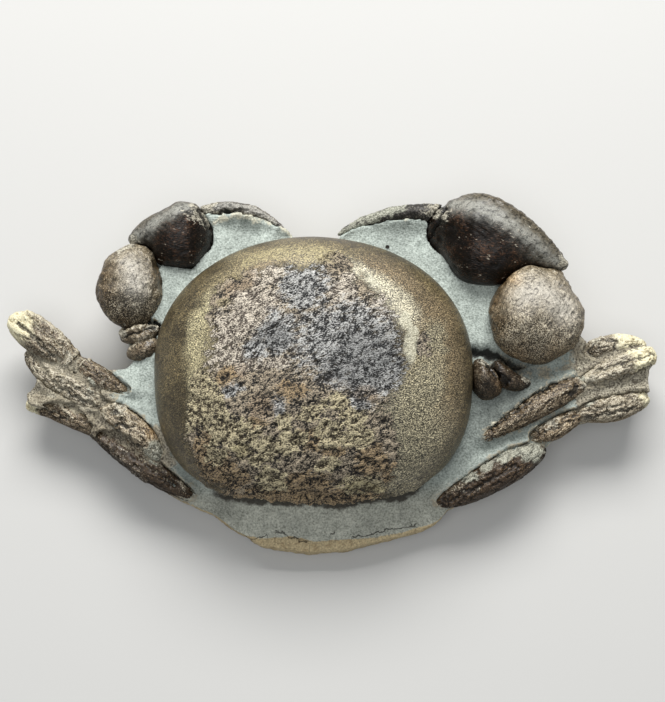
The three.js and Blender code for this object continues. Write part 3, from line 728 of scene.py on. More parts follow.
# %% Strokes on the pieces: points in plan, half width, height, tint
STROKES = {
    "left_leg_1_shank": [
        ([(-83.8, 15.6), (-81.3, 12.9), (-78.8, 10.2), (-75.9, 8.1), (-73.8, 6)], 0.55, -1.1, -1),
        ([(-86.3, 13), (-83.3, 10.3), (-80.8, 7.8), (-77.8, 4.5), (-74.9, 2.9)], 0.5, -0.9, -0.9),
        ([(-84.3, 16.8), (-81, 15.2), (-78.1, 12.9), (-75.1, 10.2), (-72.6, 7.3)], 0.8, 0.6, 0.9),
        ([(-84.6, 15), (-80, 11.4), (-77.1, 8.5), (-74.1, 4.8)], 0.7, 0.6, 0.5),
        ([(-74.5, 2), (-72.1, 2.4), (-70.6, 4.5), (-71, 6.1)], 0.6, 0.7, 0.7),
        ([(-73.6, 3.2), (-72.4, 4.6), (-72.6, 6)], 0.5, -0.6, -0.7),
    ],
    "left_leg_1_thigh": [
        ([(-70.9, -0.3), (-68.6, 2.1), (-67, 3)], 0.45, 0.5, 0.9),
        ([(-72.9, -0.3), (-68.4, -1.6), (-65.1, -3.6)], 0.45, 0.5, 0.9),
        ([(-63.1, -5.7), (-62.7, -3.6), (-61.2, -2)], 0.4, 0.3, 0.7),
        ([(-68.4, 1.2), (-65, -1), (-61, -3)], 0.5, -0.5, -0.6),
    ],
    "left_leg_2_shank": [
        ([(-76.7, 1.8), (-73.4, -0.2), (-68.5, -1.9), (-63.6, -3.9)], 0.6, 0.5, 0.9),
        ([(-77.3, -2.7), (-75.8, -1.5), (-73.7, -1.9), (-74.9, -3.5), (-76.9, -3.9)], 0.5, 0.7, 0.5),
        ([(-81.4, 4.8), (-79.1, -0.1), (-74.9, -4.2), (-71.6, -6.7), (-66.7, -8.7), (-63.1, -10)],
         0.55, -1.1, -0.9),
        ([(-71.7, -3.5), (-68.4, -6), (-63.5, -7.6)], 0.5, -0.8, -0.8),
        ([(-73, -2), (-69, -4), (-64, -5.6)], 0.9, 0.5, 0.3),
    ],
    "left_leg_2_thigh": [
        ([(-61.6, -14.2), (-62.5, -12.2), (-60.9, -9.7), (-58.6, -8.9), (-56.5, -10.1), (-57.3, -12.6)],
         0.6, 0.8, 0.8),
        ([(-60, -12), (-59, -11.4)], 0.9, -0.7, -0.8),
        ([(-56.1, -12.5), (-53.2, -15.3), (-50.4, -18.6), (-47.9, -21.4)], 0.9, 0.5, 0.4),
        ([(-59.3, -14.9), (-55.2, -15.7), (-52, -16.1)], 0.5, -0.7, -0.8),
        ([(-60.5, -15.9), (-56.4, -18.4), (-51.9, -21.6)], 0.6, -0.8, -0.9),
    ],
    "left_leg_3_thigh": [
        ([(-68.5, -9.8), (-63.5, -13.9), (-58.6, -17.9), (-53.2, -22), (-48.3, -26.4), (-40, -32)],
         0.8, 0.7, 0.45),
        ([(-71.9, -12.3), (-67, -16), (-61.2, -20.1), (-55.4, -25.3), (-50.5, -29.4)], 0.8, 0.6, 0.3),
        ([(-67, -11.7), (-61.2, -16.2), (-56.2, -20.2), (-50.5, -25.1), (-43, -31)], 0.6, -1.1, -1),
    ],
    "left_leg_3_shank": [
        ([(-83.3, -7), (-80.1, -6.7), (-77.2, -7.4), (-73.9, -9.2), (-71.8, -12.1)], 0.7, 0.5, 0.7),
        ([(-75.5, -9.2), (-75, -9.4)], 1.3, 0.7, 0.3),
        ([(-79.2, -9.5), (-78.4, -7.4)], 0.5, -0.5, -0.5),
        ([(-82, -9.6), (-77, -10.6), (-73, -13)], 0.5, -0.6, -0.8),
    ],
    "right_leg_1_thigh": [
        ([(43.2, -15.6), (49.2, -11.9), (54.4, -8.2), (59.3, -4.5), (64.1, -1.9)], 0.45, -0.8, -1),
        ([(43, -18), (49, -14.4), (57, -9.6), (65, -5)], 1.2, 0.5, 0.3),
        ([(66.9, -2.1), (69.1, -3.5), (69.7, -5.4), (68.5, -7.6)], 0.6, 0.5, 0.8),
        ([(65.3, -6.9), (67.5, -4.7)], 0.9, -0.6, -1),
    ],
    "right_leg_1_shank": [
        ([(70, 1.7), (74.8, 3.2), (78.9, 5.1), (83.4, 6.6), (88.5, 6.6)], 0.7, 0.5, 0.5),
        ([(72.9, 2.8), (76.7, 5.4), (79, 6.9)], 0.45, -0.7, -0.8),
        ([(69.1, -2.4), (73.5, -1.7), (78.7, -0.2), (83.9, 1.7), (88.8, 3.2)], 0.8, 0.7, 0.5),
        ([(69.8, -4.6), (75, -3.8), (80.2, -2.3), (85, -0.5), (87.6, 0.3)], 0.6, -1.1, -1),
        ([(72, -0.6), (77, 1), (80.3, 2.1), (84, 3.2), (89.2, 4.7)], 0.4, -0.7, -0.8),
    ],
    "right_leg_1_foot": [
        ([(70.8, 6.1), (72.7, 8.3), (76, 9.1), (78.5, 7.6), (77.7, 5.3), (74.3, 3.1), (71.4, 4.2),
          (70.8, 6.1)], 0.5, -0.7, -0.9),
        ([(67.9, 6.9), (70.9, 8.5), (74.3, 9.8)], 0.6, 0.4, 0.9),
    ],
    "right_leg_2_shank": [
        ([(71.2, -9), (76.4, -7.8), (81.6, -6.7), (86.8, -5.2)], 0.8, 0.5, 0.5),
        ([(69.2, -13.1), (73.6, -12.3), (78.8, -11.2), (84, -10.1), (87, -8.6)], 0.7, -0.6, -0.7),
        ([(82.3, -7.8), (84.5, -6.7), (86.3, -8.2), (84.7, -10.1)], 0.45, 0.5, 0.6),
        ([(70, -11), (76, -10), (81, -9)], 0.45, -0.6, -0.7),
    ],
    "right_leg_2_thigh": [
        ([(54.3, -16.6), (58.7, -14.7), (63.2, -12.5), (66.9, -11)], 0.6, 0.4, 0.6),
        ([(56, -18), (61, -15.8), (65.5, -13.8)], 0.5, -0.5, -0.6),
    ],
    "right_leg_3": [
        ([(31.5, -33.4), (41.1, -28.4), (48, -24.2), (54, -21.8)], 0.9, 0.6, 0.4),
        ([(33, -35), (42, -30.6), (50, -26)], 0.6, -0.6, -0.7),
        ([(36, -29.6), (43, -26.4), (49.7, -23)], 0.5, -0.5, -0.6),
    ],
    "right_claw_palm": [
        ([(32.2, 41.1), (39.8, 39.4), (45.9, 37.7), (51, 35.5), (55.7, 33), (60.7, 29.4), (62.6, 28.1)],
         2.4, 0.8, 0),
        ([(30.5, 37), (38, 34.5), (46, 32), (54, 29.8)], 3, -0.6, 0),
        ([(33, 47.5), (35.9, 48.5), (41.1, 47.2), (47.3, 44.5), (54.3, 39.8), (60.4, 34.6), (64, 29.7)],
         0.9, 0.4, 0.2),
        ([(30.8, 46.6), (31, 43.2), (29, 40.6), (27.4, 37.6)], 0.7, -0.9, -1),
        ([(64.6, 30), (66, 27.4)], 1, 0.8, 0.4),
    ],
    "left_claw_palm": [
        ([(-55.5, 36.5), (-51.8, 37.3), (-48.2, 38.8), (-44.5, 40.7), (-40.9, 42.7), (-37.9, 43.8)],
         2, 0.7, 0),
        ([(-36.4, 46.6), (-36.6, 43.6), (-34.4, 40.4)], 0.7, -0.8, -1),
    ],
    "left_claw_finger": [([(-33.5, 43.3), (-30, 44.2), (-25.3, 44.8)], 0.5, -0.4, -0.9)],
    "right_claw_wrist": [
        ([(62.5, 25.8), (65.6, 19), (66.8, 13.2), (65.2, 7.4)], 1.6, 0.8, 0.2),
        ([(44, 16), (46.4, 21.6), (51.1, 24.9), (56.9, 26)], 1, 0.4, -0.3),
        ([(60.5, 23), (61.8, 18), (61.2, 12)], 1.8, -0.5, 0),
    ],
    "left_claw_wrist": [
        ([(-61.6, 30), (-63.2, 24), (-62, 18.4)], 1.6, 0.6, 0),
        ([(-50, 31.4), (-49.4, 25), (-50, 20)], 0.9, 0.4, 0.3),
    ],
    "left_claw_arm": [
        ([(-57.8, 10.8), (-55.5, 11.1), (-51.8, 11.9), (-50, 13.4)], 0.7, 0.7, 0.8),
        ([(-55.3, 7), (-52.4, 8.5), (-49.1, 9.6)], 0.8, 0.6, 0.7),
        ([(-58.5, 12.9), (-54.7, 13.1), (-51.3, 13.9), (-48.7, 12)], 0.7, -1, -1),
        ([(-56.8, 9.7), (-53.8, 10.1), (-51.3, 11.2), (-48.7, 11.6)], 0.6, -1, -1),
    ],
    "right_claw_arm": [
        ([(41, -0.6), (42.6, -3), (45.3, -5.2), (47.2, -5.8)], 1.2, 0.5, 0.15),
        ([(42.6, 2), (44.6, -1.6), (48, -3.6)], 0.9, -0.8, -1),
    ],
    "stone": [
        ([(1, 38.8), (4.4, 41.3), (8.3, 43.1), (15.5, 44.3), (19.9, 43.8), (21.3, 42.6)], 0.8, 0.5, 0.8),
        ([(-32.6, 41.4), (-30.1, 42.7), (-25.3, 43.5), (-20.8, 42.5), (-15.1, 41.6), (-11.3, 38.6)],
         0.8, 0.5, 0.8),
        ([(13.6, 38.8), (22.7, 37.3)], 3.2, -0.9, 0),
        ([(-27.9, 39.8), (-21.8, 38.2)], 2.8, -0.9, 0),
        # the crevice under the right wrist: a real groove, and its dark tint is painted shadow
        ([(39.1, 5.2), (43, 5), (47, 3.6), (51.8, 1.8)], 1.4, -3.2, -1.3),
        ([(46.9, 0.2), (49.7, -2.4), (53, -1)], 1.4, 1, 0.2),
        ([(43.3, -14.9), (48.5, -11.6), (53.7, -8.2), (58.9, -4.5), (64.1, -1.5), (69.4, 1.5)],
         0.6, 0.5, 0.5),
        # the crevice between the left wrist and its arm: a real groove, and its dark tint is painted shadow
        ([(-50.5, 14.6), (-48, 12), (-48, 9)], 1, -1.6, -1),
        ([(71.5, -6.5), (76.7, -5.4), (81.9, -4.3), (85.9, -3.5)], 0.9, 0.8, 0.2),
    ],
}


def wobbled(plan):
    """Places in plan pushed about by half a millimetre, so that a stroke on them is uneven."""
    x, y = plan.T
    push_x = 0.30 * np.sin(1.7 * y + 0.6 * x) + 0.20 * np.sin(3.9 * x - 2.3 * y + 1)
    push_y = 0.30 * np.sin(1.5 * x - 0.9 * y + 2) + 0.20 * np.sin(3.3 * y + 2.9 * x + 4)
    return plan + np.stack([push_x, push_y], 1)


def distance_to_line(points, line):
    """Distance in plan from each point to a row of straight stretches."""
    least = np.full(len(points), np.inf)
    for start, end in zip(np.array(line[:-1]), np.array(line[1:])):
        along = end - start
        share = np.clip((points - start) @ along / (along @ along), 0, 1)
        least = np.minimum(least, np.hypot(*(points - start - share[:, None] * along).T))
    return least


def draw_strokes(thing, node):
    """Moves the upper side by the node's strokes and keeps their tint."""
    mesh = thing.data
    points, normals = points_of(mesh), normals_of(mesh)
    plan = wobbled(points[:, :2] / MM)
    lift, tint = np.zeros(len(points)), np.zeros(len(points))
    upper = climb(normals[:, 2], -0.1, 0.25)
    strokes = [stroke for name, rows in STROKES.items() if name in node for stroke in rows]
    for line, width, height, shade in strokes:
        near = np.exp(-((distance_to_line(plan, line) / width) ** 2)) * upper
        lift += near * height
        tint += near * shade
    set_points(mesh, points + normals * (lift * MM)[:, None])
    keep_values(mesh, "tint", tint)


print(sum(map(len, STROKES.values())), "strokes")

# %% [markdown]
# ## Relief on the limbs
#
# One tree roughens every limb, with other sizes for each kind. Its noises read the place of a point along,
# across and up the limb, so that they can be drawn out lengthwise on a leg and stay round on a wrist. It
# keeps what it did to each point, so that the finish can paint shade into the hollows.

# %% The tree that roughens a limb
PIT_EDGE = (0.28, 0.08)
SPLIT_EDGE = (0.045, 0.0)
FULL_DEPTH = 2 * MM  # a noise swings by half to either side, and twice that is its whole depth


def relief_tree():
    tree, geometry, size = new_tree(
        "fossil_relief", coarse_size=5.0, coarse_depth=0.5, fine_size=1.2, fine_depth=0.3, pit_size=2.4,
        pit_depth=0.0, fibre_size=1.6, fibre_depth=0.0,
    )
    grain = stored(tree, "grain", True)
    coarse = noise(grain, size["coarse_size"], 2, 0.5, seed=21) - 0.5
    fine = noise(grain, size["fine_size"], 2, 0.65, seed=22) - 0.5
    pits = step(cells(grain, size["pit_size"]), *PIT_EDGE)
    winding = noise(grain, size["fibre_size"], 2, 0.5, seed=24) - 0.5
    split = step(winding.math("ABSOLUTE"), *SPLIT_EDGE)
    relief = coarse * size["coarse_depth"] + fine * size["fine_depth"]
    relief = relief - pits * size["pit_depth"] - split * size["fibre_depth"]
    kept = keep(geometry, "relief", 0.5 + relief / (size["coarse_depth"] * 0.5 + size["fine_depth"]))
    kept = keep(kept, "split", split)
    push = scaled(add(tree, "GeometryNodeInputNormal"), relief * FULL_DEPTH)
    shaped = add(tree, "GeometryNodeSetPosition", {"Geometry": kept, "Offset": push})
    end_tree(shaped, None)
    return tree


def axis_of(points):
    """The middle of a limb, and the direction in plan that it runs, outward."""
    middle = points.mean(0)
    plan = (points - middle)[:, :2]
    _, directions = np.linalg.eigh(plan.T @ plan)
    axis = directions[:, 1]
    return middle, axis if axis @ middle[:2] > 0 else -axis


LIMBS_APART = (1.7, 2.3, 1.0)


def grain_of(points, stretch):
    """The place of each point along, across and up its limb, in millimetres, apart for each limb."""
    middle, axis = axis_of(points)
    plan = (points - middle)[:, :2]
    along, across = plan @ axis, plan @ np.array([-axis[1], axis[0]])
    grain = np.stack([along / stretch, across, points[:, 2] - middle[2]], 1) / MM
    return grain + middle / MM * LIMBS_APART


JOINT_REACH = 1.7


def close_joint(thing, way):
    """Draws out the end of a leg's segment that meets its neighbour: outward for 1, inward for -1."""
    points = points_of(thing.data)
    middle, axis = axis_of(points)
    along = (points - middle)[:, :2] @ axis * way
    points[:, :2] += np.clip(along / along.max(), 0, 1)[:, None] ** 2 * axis * (way * JOINT_REACH * MM)
    set_points(thing.data, points)


print("relief tree ready")

# %% Kinds of limb
LIMB_KINDS = {
    "palm": dict(voxel=0.34, fitting=1, smoothing=90, stretch=1.6, coarse_size=6.0, coarse_depth=0.36,
                 fine_size=1.3, fine_depth=0.06, pit_size=4.2, pit_depth=0.12),
    "finger": dict(voxel=0.30, fitting=3, smoothing=10, stretch=1.6, coarse_size=2.6, coarse_depth=0.6,
                   fine_size=0.9, fine_depth=0.4),
    "wrist": dict(voxel=0.34, fitting=1, smoothing=180, stretch=1.0, coarse_size=9.0, coarse_depth=1.8,
                  fine_size=1.0, fine_depth=0.16),
    "arm": dict(voxel=0.30, fitting=3, smoothing=12, stretch=1.4, coarse_size=3.0, coarse_depth=0.5,
                fine_size=0.9, fine_depth=0.16),
    "leg": dict(voxel=0.30, fitting=3, smoothing=8, stretch=3.0, coarse_size=2.6, coarse_depth=0.26,
                fine_size=0.8, fine_depth=0.18, fibre_size=1.7, fibre_depth=0.28),
}


def kind_of(node):
    """The kind of limb that a node's name tells, or None for the shell and the stone."""
    named = [kind for kind in LIMB_KINDS if kind in node]
    return named[-1] if named else None


print("kinds of limb:", list(LIMB_KINDS))

# %% [markdown]
# ## Finishes of the limbs
#
# The claws kept their outer layer: almost black, with a red-brown cast, and polished. The wrists are
# greyer and duller, and finely grained below. The legs lost theirs in places, so that pale ribs stand
# beside dark grooves, and their broken tips are cream.

# %% Claw, wrist and leg finishes: colours as seen on a screen, and grains in millimetres
LIMB_STREAK, LIMB_CLOUD = 1.7, 7
DRAB = (88, 80, 64)
RIDGE = (150, 140, 118), (214, 207, 186)
CRUST = (112, 106, 92), (204, 199, 182)
CLADDING = (104, 104, 92), (186, 187, 172)
IVORY = (174, 156, 114), (230, 224, 192)
WARM_CAST = (1.22, 0.95, 0.66)
BROWN_CAST = (0.55, 0.43, 0.3)
# darkens steep sides and undersides: painted shade
STEEP_SHADE_CAST = (0.5, 0.43, 0.33)


def limb_finish(
    name, dark, mid, pale, worn, gloss, squeeze, contrast, streaks, bump, ripple=0.7, shine=0.42,
):
    """A finish in three tones. Contrast is that of the grit on top, and what the rear side adds."""
    material, tree, place = new_finish(name)
    grain = stored(tree, "grain", True)
    fleck = noise(grain, FLECK_SIZE, 1, 0.6, seed=31, stretch=(squeeze, 0.8, 1))
    streak = noise(grain, LIMB_STREAK, 2, 0.6, seed=32)
    cloud = noise(place, LIMB_CLOUD, 2, 0.5, seed=33)
    dust = noise(place, DUST_SIZE, 1, 0.6, seed=34)
    relief, tint, split, shade = (stored(tree, n) for n in ("relief", "tint", "split", "shade"))
    rear, warm, low = stored(tree, "rear"), stored(tree, "warm"), stored(tree, "low")
    grit = (fleck - 0.5) * (contrast[0] + contrast[1] * rear) + (dust - 0.5) * contrast[0] * 0.8
    # with the relief, darker in its hollows and lighter on its high spots: painted shade and painted light
    tone = grit + (streak - 0.5) * streaks + (relief - 0.5) * 0.25 + shade * 0.25 + (cloud - 0.5) * 0.5
    colour = two_tone(dark, mid, tone, -0.34, 0.02)
    colour = mixed(colour, linear(*pale), ramp(tone, 0.02, 0.42))
    colour = mixed(colour, gritty(linear(*DRAB), fleck, 2.4), stored(tree, "drab") * 0.8)
    # worn: a pale band along a crest, partly wear and partly a painted highlight
    colour = mixed(colour, gritty(linear(*worn), dust, 1.6), stored(tree, "worn"))
    colour = cast(colour, WARM_CAST, warm)
    colour = cast(colour, BROWN_CAST, stored(tree, "brown") * 0.8)
    # darker on steep sides and undersides: painted shade
    colour = cast(colour, STEEP_SHADE_CAST, low)
    ridge = step(tint + grit * 0.8, 0.25, 0.8) * 0.7
    colour = mixed(colour, two_tone(*RIDGE, fleck, 0.36, 0.64), ridge)
    crust = step(stored(tree, "crust") + (streak - 0.5) * 2.4 + (fleck - 0.5) * 1.2, 0.45, 0.75)
    matrix = step(stored(tree, "matrix") + (streak - 0.5) * 1.0, 0.3, 0.6)
    colour = mixed(colour, two_tone(*CRUST, fleck, 0.36, 0.62), crust * 0.85)
    colour = mixed(colour, two_tone(*CLADDING, fleck, 0.36, 0.62), matrix * 0.85)
    tip = step(stored(tree, "tip") + (streak - 0.5) * 0.6, 0.2, 0.7)
    ivory = two_tone(*IVORY, tone - shade * 0.25, -0.45, 0.0)
    colour = mixed(colour, ivory, tip * 0.9)
    groove = (step(tint + grit * 0.3, -0.15, -0.8) * 0.9).math("MAXIMUM", split * (0.8 - 0.5 * tip))
    colour = mixed(colour, linear(*(c * 0.5 for c in dark)), groove)
    roughness = gloss + 0.3 * crust + 0.2 * tip + 0.3 * matrix + 0.12 * rear + 0.3 * (fleck - 0.5)
    roughness = roughness + 0.2 * stored(tree, "worn")
    height = fleck * (0.4 + 0.9 * rear) + streak * ripple
    return end_finish(material, colour, roughness, height, bump * MM, specular=shine)


# the worn colour is the pale crest band: partly wear, partly a painted highlight
LIMB_FINISHES = {
    "palm": dict(dark=(7, 5, 3), mid=(25, 17, 11), pale=(88, 60, 40), worn=(158, 158, 150), gloss=0.26,
                 squeeze=2.0, contrast=(0.9, 0.3), streaks=0.6, bump=0.2, ripple=0.35, shine=0.28),
    "wrist": dict(dark=(40, 33, 23), mid=(118, 107, 86), pale=(208, 199, 177), worn=(186, 182, 172),
                  gloss=0.38, squeeze=1.0, contrast=(0.9, 2.5), streaks=0.8, bump=0.34, ripple=1.2),
    "finger": dict(dark=(30, 27, 24), mid=(104, 100, 93), pale=(186, 184, 176), worn=(166, 164, 156),
                   gloss=0.45, squeeze=0.7, contrast=(1.4, 0.2), streaks=0.8, bump=0.26),
    "arm": dict(dark=(16, 13, 10), mid=(68, 57, 44), pale=(160, 148, 126), worn=(170, 150, 130), gloss=0.3,
                squeeze=0.8, contrast=(0.9, 0.3), streaks=0.6, bump=0.2),
    "leg": dict(dark=(48, 40, 29), mid=(112, 99, 79), pale=(194, 187, 167), worn=(170, 160, 140), gloss=0.46,
                squeeze=0.34, contrast=(1.5, 0.2), streaks=0.35, bump=0.26),
}
limb_materials = {kind: limb_finish("fossil_" + kind, **values) for kind, values in LIMB_FINISHES.items()}
print("finishes:", sorted(limb_materials))

# %% [markdown]
# Some things are kept on each limb for its finish. A few tips broke off and show cream calcite, a whitish
# crust still clings round certain joints, and some ends are still clad in stone: all of these are spots with
# a reach. So are the ochre and brown stains. The claws carry a pale grey band along a crest, partly wear and
# partly a painted highlight where the softbox's sheen falls, and the palms are drab in front of theirs.
# Steep sides and undersides of every limb are darkened, which is painted shade. And each limb has a shade
# and a warmth of its own, because the legs weathered to different depths.

# %% Spots and tones on the limbs: x, y, reach in millimetres
SPOTS = {
    "tip": [
        (-90, 15.6, 7.2), (-86.6, 12.6, 5), (88, 6, 6.4), (82.4, 9.4, 4.6), (87, 1, 4.4), (88, -6.4, 3.6),
        (-84, -8.5, 3.6),
    ],
    "crust": [
        (-36, 43, 3.2), (-34, 46, 2.6), (-56, 35.2, 2.6), (-58.6, 32.6, 1.8), (28.6, 45, 3), (31, 41.4, 1.6),
        (-49, 12.4, 2), (-57.6, 10.4, 1.5), (42, 3, 2), (64, 29.6, 1.8), (-72.4, 3.6, 2), (70.4, -3.4, 2),
        (-58, -10.8, 2), (-66, -6, 2.4), (60, -14, 2.2), (73, 9, 2), (54, -2.4, 2), (64.5, 26.6, 1.6),
    ],
    "matrix": [
        (-48, -22.4, 3.4), (54.6, -21.6, 4), (68.5, -2, 1.2), (-66, -3.4, 1.4), (70.5, -8.4, 1.4),
        (19, 45.6, 2), (16, 45, 2.4), (11.5, 43.4, 3), (7, 41.4, 3), (2.5, 39, 3), (37.5, -28.5, 2.2),
        (42, -25.4, 2.4), (46.4, -23.2, 2.6), (50.4, -21, 2.8),
    ],
    "ochre": [
        (-49.2, -16.6, 2), (45.5, -29, 6), (-82, -9, 2), (46, -5.6, 2.6), (49, 23.6, 2.4), (-46.6, 26, 2),
    ],
    "brown": [
        (-63, 26, 5), (-63, 20, 4.6), (-57, 12.6, 3), (44.4, 18, 3.6), (44, 11, 3.8), (51, 2.6, 4.2),
        (61, 3, 4.2),
    ],
}
# pale bands along crests, partly wear and partly a painted highlight where the softbox's sheen falls
WORN_AND_SHEEN_CRESTS = {  # line, reach, strength
    "right_claw_palm": (
        [(34.2, 45), (40.2, 42.8), (45.2, 40.2), (50, 37), (54.4, 33.8), (58.2, 30.6), (62.2, 27.8)],
        2.6, 0.74),
    "left_claw_palm": ([(-55, 36.6), (-50.9, 38.6), (-46.9, 41), (-43, 43), (-39.6, 44.6)], 2.1, 0.72),
    "right_claw_wrist": ([(51.6, 18.4), (57, 19.6), (63, 14.6)], 4.6, 0.8),
    "left_claw_wrist": ([(-54.6, 27), (-53.2, 22)], 3.8, 0.75),
    "left_claw_finger": ([(-31, 46.4), (-22, 46), (-15, 43.6)], 1.4, 0.6),
}
PIECE_TONES = {  # shade, warmth
    "left_leg_1_thigh": (-0.5, 0.2), "left_leg_1_shank": (0.2, 0.05), "left_leg_2_shank": (0.9, 0),
    "left_leg_2_thigh": (0.6, 0.15), "left_leg_3_thigh": (-2.0, 0.8), "left_leg_3_shank": (-0.2, 0.25),
    "right_leg_1_thigh": (-0.3, 0.25), "right_leg_1_shank": (1.2, 0), "right_leg_1_foot": (0.5, 0),
    "right_leg_2_thigh": (0.0, 0.35), "right_leg_2_shank": (0.7, 0.05), "right_leg_3": (-1.8, 0.7),
    "right_claw_wrist": (0.3, 0.05),
    "right_claw_finger": (-1.6, 0.1), "left_claw_finger": (0.2, 0), "right_claw_arm": (-0.3, 0.0),
    "left_claw_arm": (1.0, 0), "left_claw_arm_base": (0.6, 0.1), "left_claw_wrist": (-0.1, 0),
}


def in_front_of(plan, line):
    """How far each point lies in front of a line that runs from left to right."""
    return plan[:, 1] - np.interp(plan[:, 0], *zip(*line))


def near_spots(plan, spots):
    share = np.zeros(len(plan))
    for x, y, reach in spots:
        share = np.maximum(share, np.exp(-((np.hypot(plan[:, 0] - x, plan[:, 1] - y) / reach) ** 2)))
    return share


def limb_values(node, points, normals, stretch):
    """All that the relief and the finish read about a limb's points, by name."""
    plan = wobbled(points[:, :2] / MM)
    near = {name: near_spots(plan, spots) for name, spots in SPOTS.items()}
    upper = climb(normals[:, 2], -0.2, 0.4)
    worn, drab = np.zeros(len(points)), np.zeros(len(points))
    if node in WORN_AND_SHEEN_CRESTS:
        line, reach, strength = WORN_AND_SHEEN_CRESTS[node]
        on_crest = np.exp(-((distance_to_line(plan, line) / reach) ** 2))
        # pale on the upward-facing crest: partly wear, partly a painted highlight
        worn = strength * on_crest * climb(normals[:, 2], 0.1, 0.7)
        if "palm" in node:
            drab = climb(in_front_of(plan, line), 0.5, 3.5)
    shade, warmth = PIECE_TONES.get(node, (0, 0))
    return {
        "grain": grain_of(points, stretch),
        "crust": near["crust"] * upper,
        "matrix": near["matrix"] * upper,
        "tip": near["tip"],
        "worn": worn,
        "drab": drab,
        "brown": near["brown"],
        # how far a point faces sideways or down, for the painted shade on steep sides and undersides
        "low": climb(-normals[:, 2], -0.8, 0.0),
        "shade": np.full(len(points), float(shade)),
        "warm": np.clip(warmth + 0.7 * near["ochre"], 0, 1),
        "rear": climb(-normals[:, 1], -0.15, 0.75),
    }


print("spots:", {name: len(spots) for name, spots in SPOTS.items()})

# %% The limbs
roughen = relief_tree()
limbs = {}
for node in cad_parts:
    kind = kind_of(node)
    if kind is None:
        continue
    sizes = dict(LIMB_KINDS[kind])
    voxel, stretch = sizes.pop("voxel"), sizes.pop("stretch")
    limb = rounded("fossil_" + node, node, voxel * MM, sizes.pop("fitting"), sizes.pop("smoothing"))
    if "thigh" in node or "shank" in node:
        close_joint(limb, 1 if "thigh" in node else -1)
    draw_strokes(limb, node)
    for name, values in limb_values(node, points_of(limb.data), normals_of(limb.data), stretch).items():
        keep_values(limb.data, name, values)
    run_tree(limb, roughen, **sizes)
    limb.data.materials.clear()
    limb.data.materials.append(limb_materials[kind])
    limbs[node] = limb
    report(limb)

# %% [markdown]
# ## The stone
#
# The slab is remeshed in the same way, but it needs some things of its own. Where it meets a fossil,
# the scraper left a thin fillet that climbs the fossil's side, so points close to a fossil are
# raised, except behind the shell, where the stone is undercut. Its thin edges are broken and
# stained, so the mesh keeps how thin the slab is there. And fine cracks run along the rear lip.

# %% Fillets, spots and cracks of the stone, in millimetres
STONE_VOXEL = 0.60
FILLETS = {  # reach, height
    "leg": (4.2, 2.8), "claw": (2.0, 0.8), "finger": (4.0, 1.5), "shell": (2.0, 0.6),
}
REAR_UNDERCUT = (5.0, 1.6)  # reach, depth
# darkening spots. In the hollows of the webs in front of the shell, along the crevice under the right wrist
# and along the rear lip they are painted shade and shadow; on the wings they are partly darker stone and
# partly painted shade; by the left third leg and at the rear left they are browner stone.
SHADOW_AND_TONE_SPOTS = [  # x, y, reach, darkness
    (18, 38, 7, 0.28), (-25, 39, 5, 0.25), (-56, -4, 10, 0.15), (50, -8, 14, 0.7), (36, -24, 8, 0.35),
    (-30, -36, 6, 0.35), (-40, -30, 5, 0.3), (47, 0, 5, 0.4), (4, -40, 26, 0.06), (45, -13, 9, 0.7),
    (-56, -24, 6, 0.9), (-48, -30, 6, 0.8), (-64, -17, 5, 0.6), (43.5, 4.2, 2.2, 0.75),
    (47.5, 3.2, 2.3, 0.75), (51.5, 1.8, 2.3, 0.7), (55.5, 0.4, 2.3, 0.6), (12, -41, 8, 0.16),
    (22, -38, 8, 0.22), (28, -34, 7, 0.24),
]
SOIL_SPOTS = [
    (-73, -3.4, 7), (-65, -10, 6), (-80, -5, 6), (-50, -26, 5), (-40, -33, 4), (74, 2, 3), (58, -18, 3),
    (47, 2.4, 4), (53, 0, 4), (59, -0.6, 4), (65, 1.6, 4), (68.6, 5.6, 4),
]
REAR_RIM = [
    (-36, -37), (-32.6, -40.6), (-26.6, -43.8), (-19, -44.8), (-10.7, -44.3), (-4.8, -45.7), (4, -45.1),
    (12.8, -44.4), (24.6, -42.1), (30, -39.7),
]
CRACKS = [
    [(-15.6, -43.1), (-13.1, -43.5), (-11.2, -44.7), (-8.7, -45.5), (-5.7, -45.7)],
    [(-24, -44.4), (-21.1, -45.4), (-18.9, -44.8), (-17.5, -43.6)],
    [(-0.6, -43.6), (1.2, -42.9)],
    [(5.2, -45), (8.9, -44.6), (12.5, -43.6), (18, -42.4), (23.5, -41.6)],
]
PINHOLE = (15.6, 34.9)
FAR_OFF = 3.0


def crack_offset(plan):
    """How far in front of the nearest crack that runs past it each point lies, in millimetres."""
    offset = np.full(len(plan), FAR_OFF)
    for line in CRACKS:
        here = in_front_of(plan, line)
        beside = (plan[:, 0] > line[0][0]) & (plan[:, 0] < line[-1][0])
        nearer = beside & (np.abs(here) < np.abs(offset))
        offset[nearer] = here[nearer]
    return offset


print(len(CRACKS), "cracks,", len(SHADOW_AND_TONE_SPOTS) + len(SOIL_SPOTS), "spots on the stone")

# %% [markdown]
# Stone also fills the narrow hollows between the legs. A map of the legs' heights over the plan is
# closed, as a sheet laid over them would close it, and the stone rises to a little below that sheet.

# %% The sheet over the legs
FILL_CELL, FILL_REACH = 0.5, 3.4
PLAN_CORNER, PLAN_CELLS, NOTHING = (-100, -60), (400, 240), -99.0
NEIGHBOURS = [(i, j) for i in (-1, 0, 1) for j in (-1, 0, 1)]


def plan_cell(points):
    """Which cell of the plan each point lies over."""
    return tuple(((points[:, :2] / MM - PLAN_CORNER) / FILL_CELL).astype(int).T)


def top_map(things):
    """The highest point of the things over each cell of the plan, in millimetres."""
    heights = np.full(PLAN_CELLS, NOTHING)
    for thing in things:
        points = points_of(thing.data)
        np.maximum.at(heights, plan_cell(points), points[:, 2] / MM)
    return heights


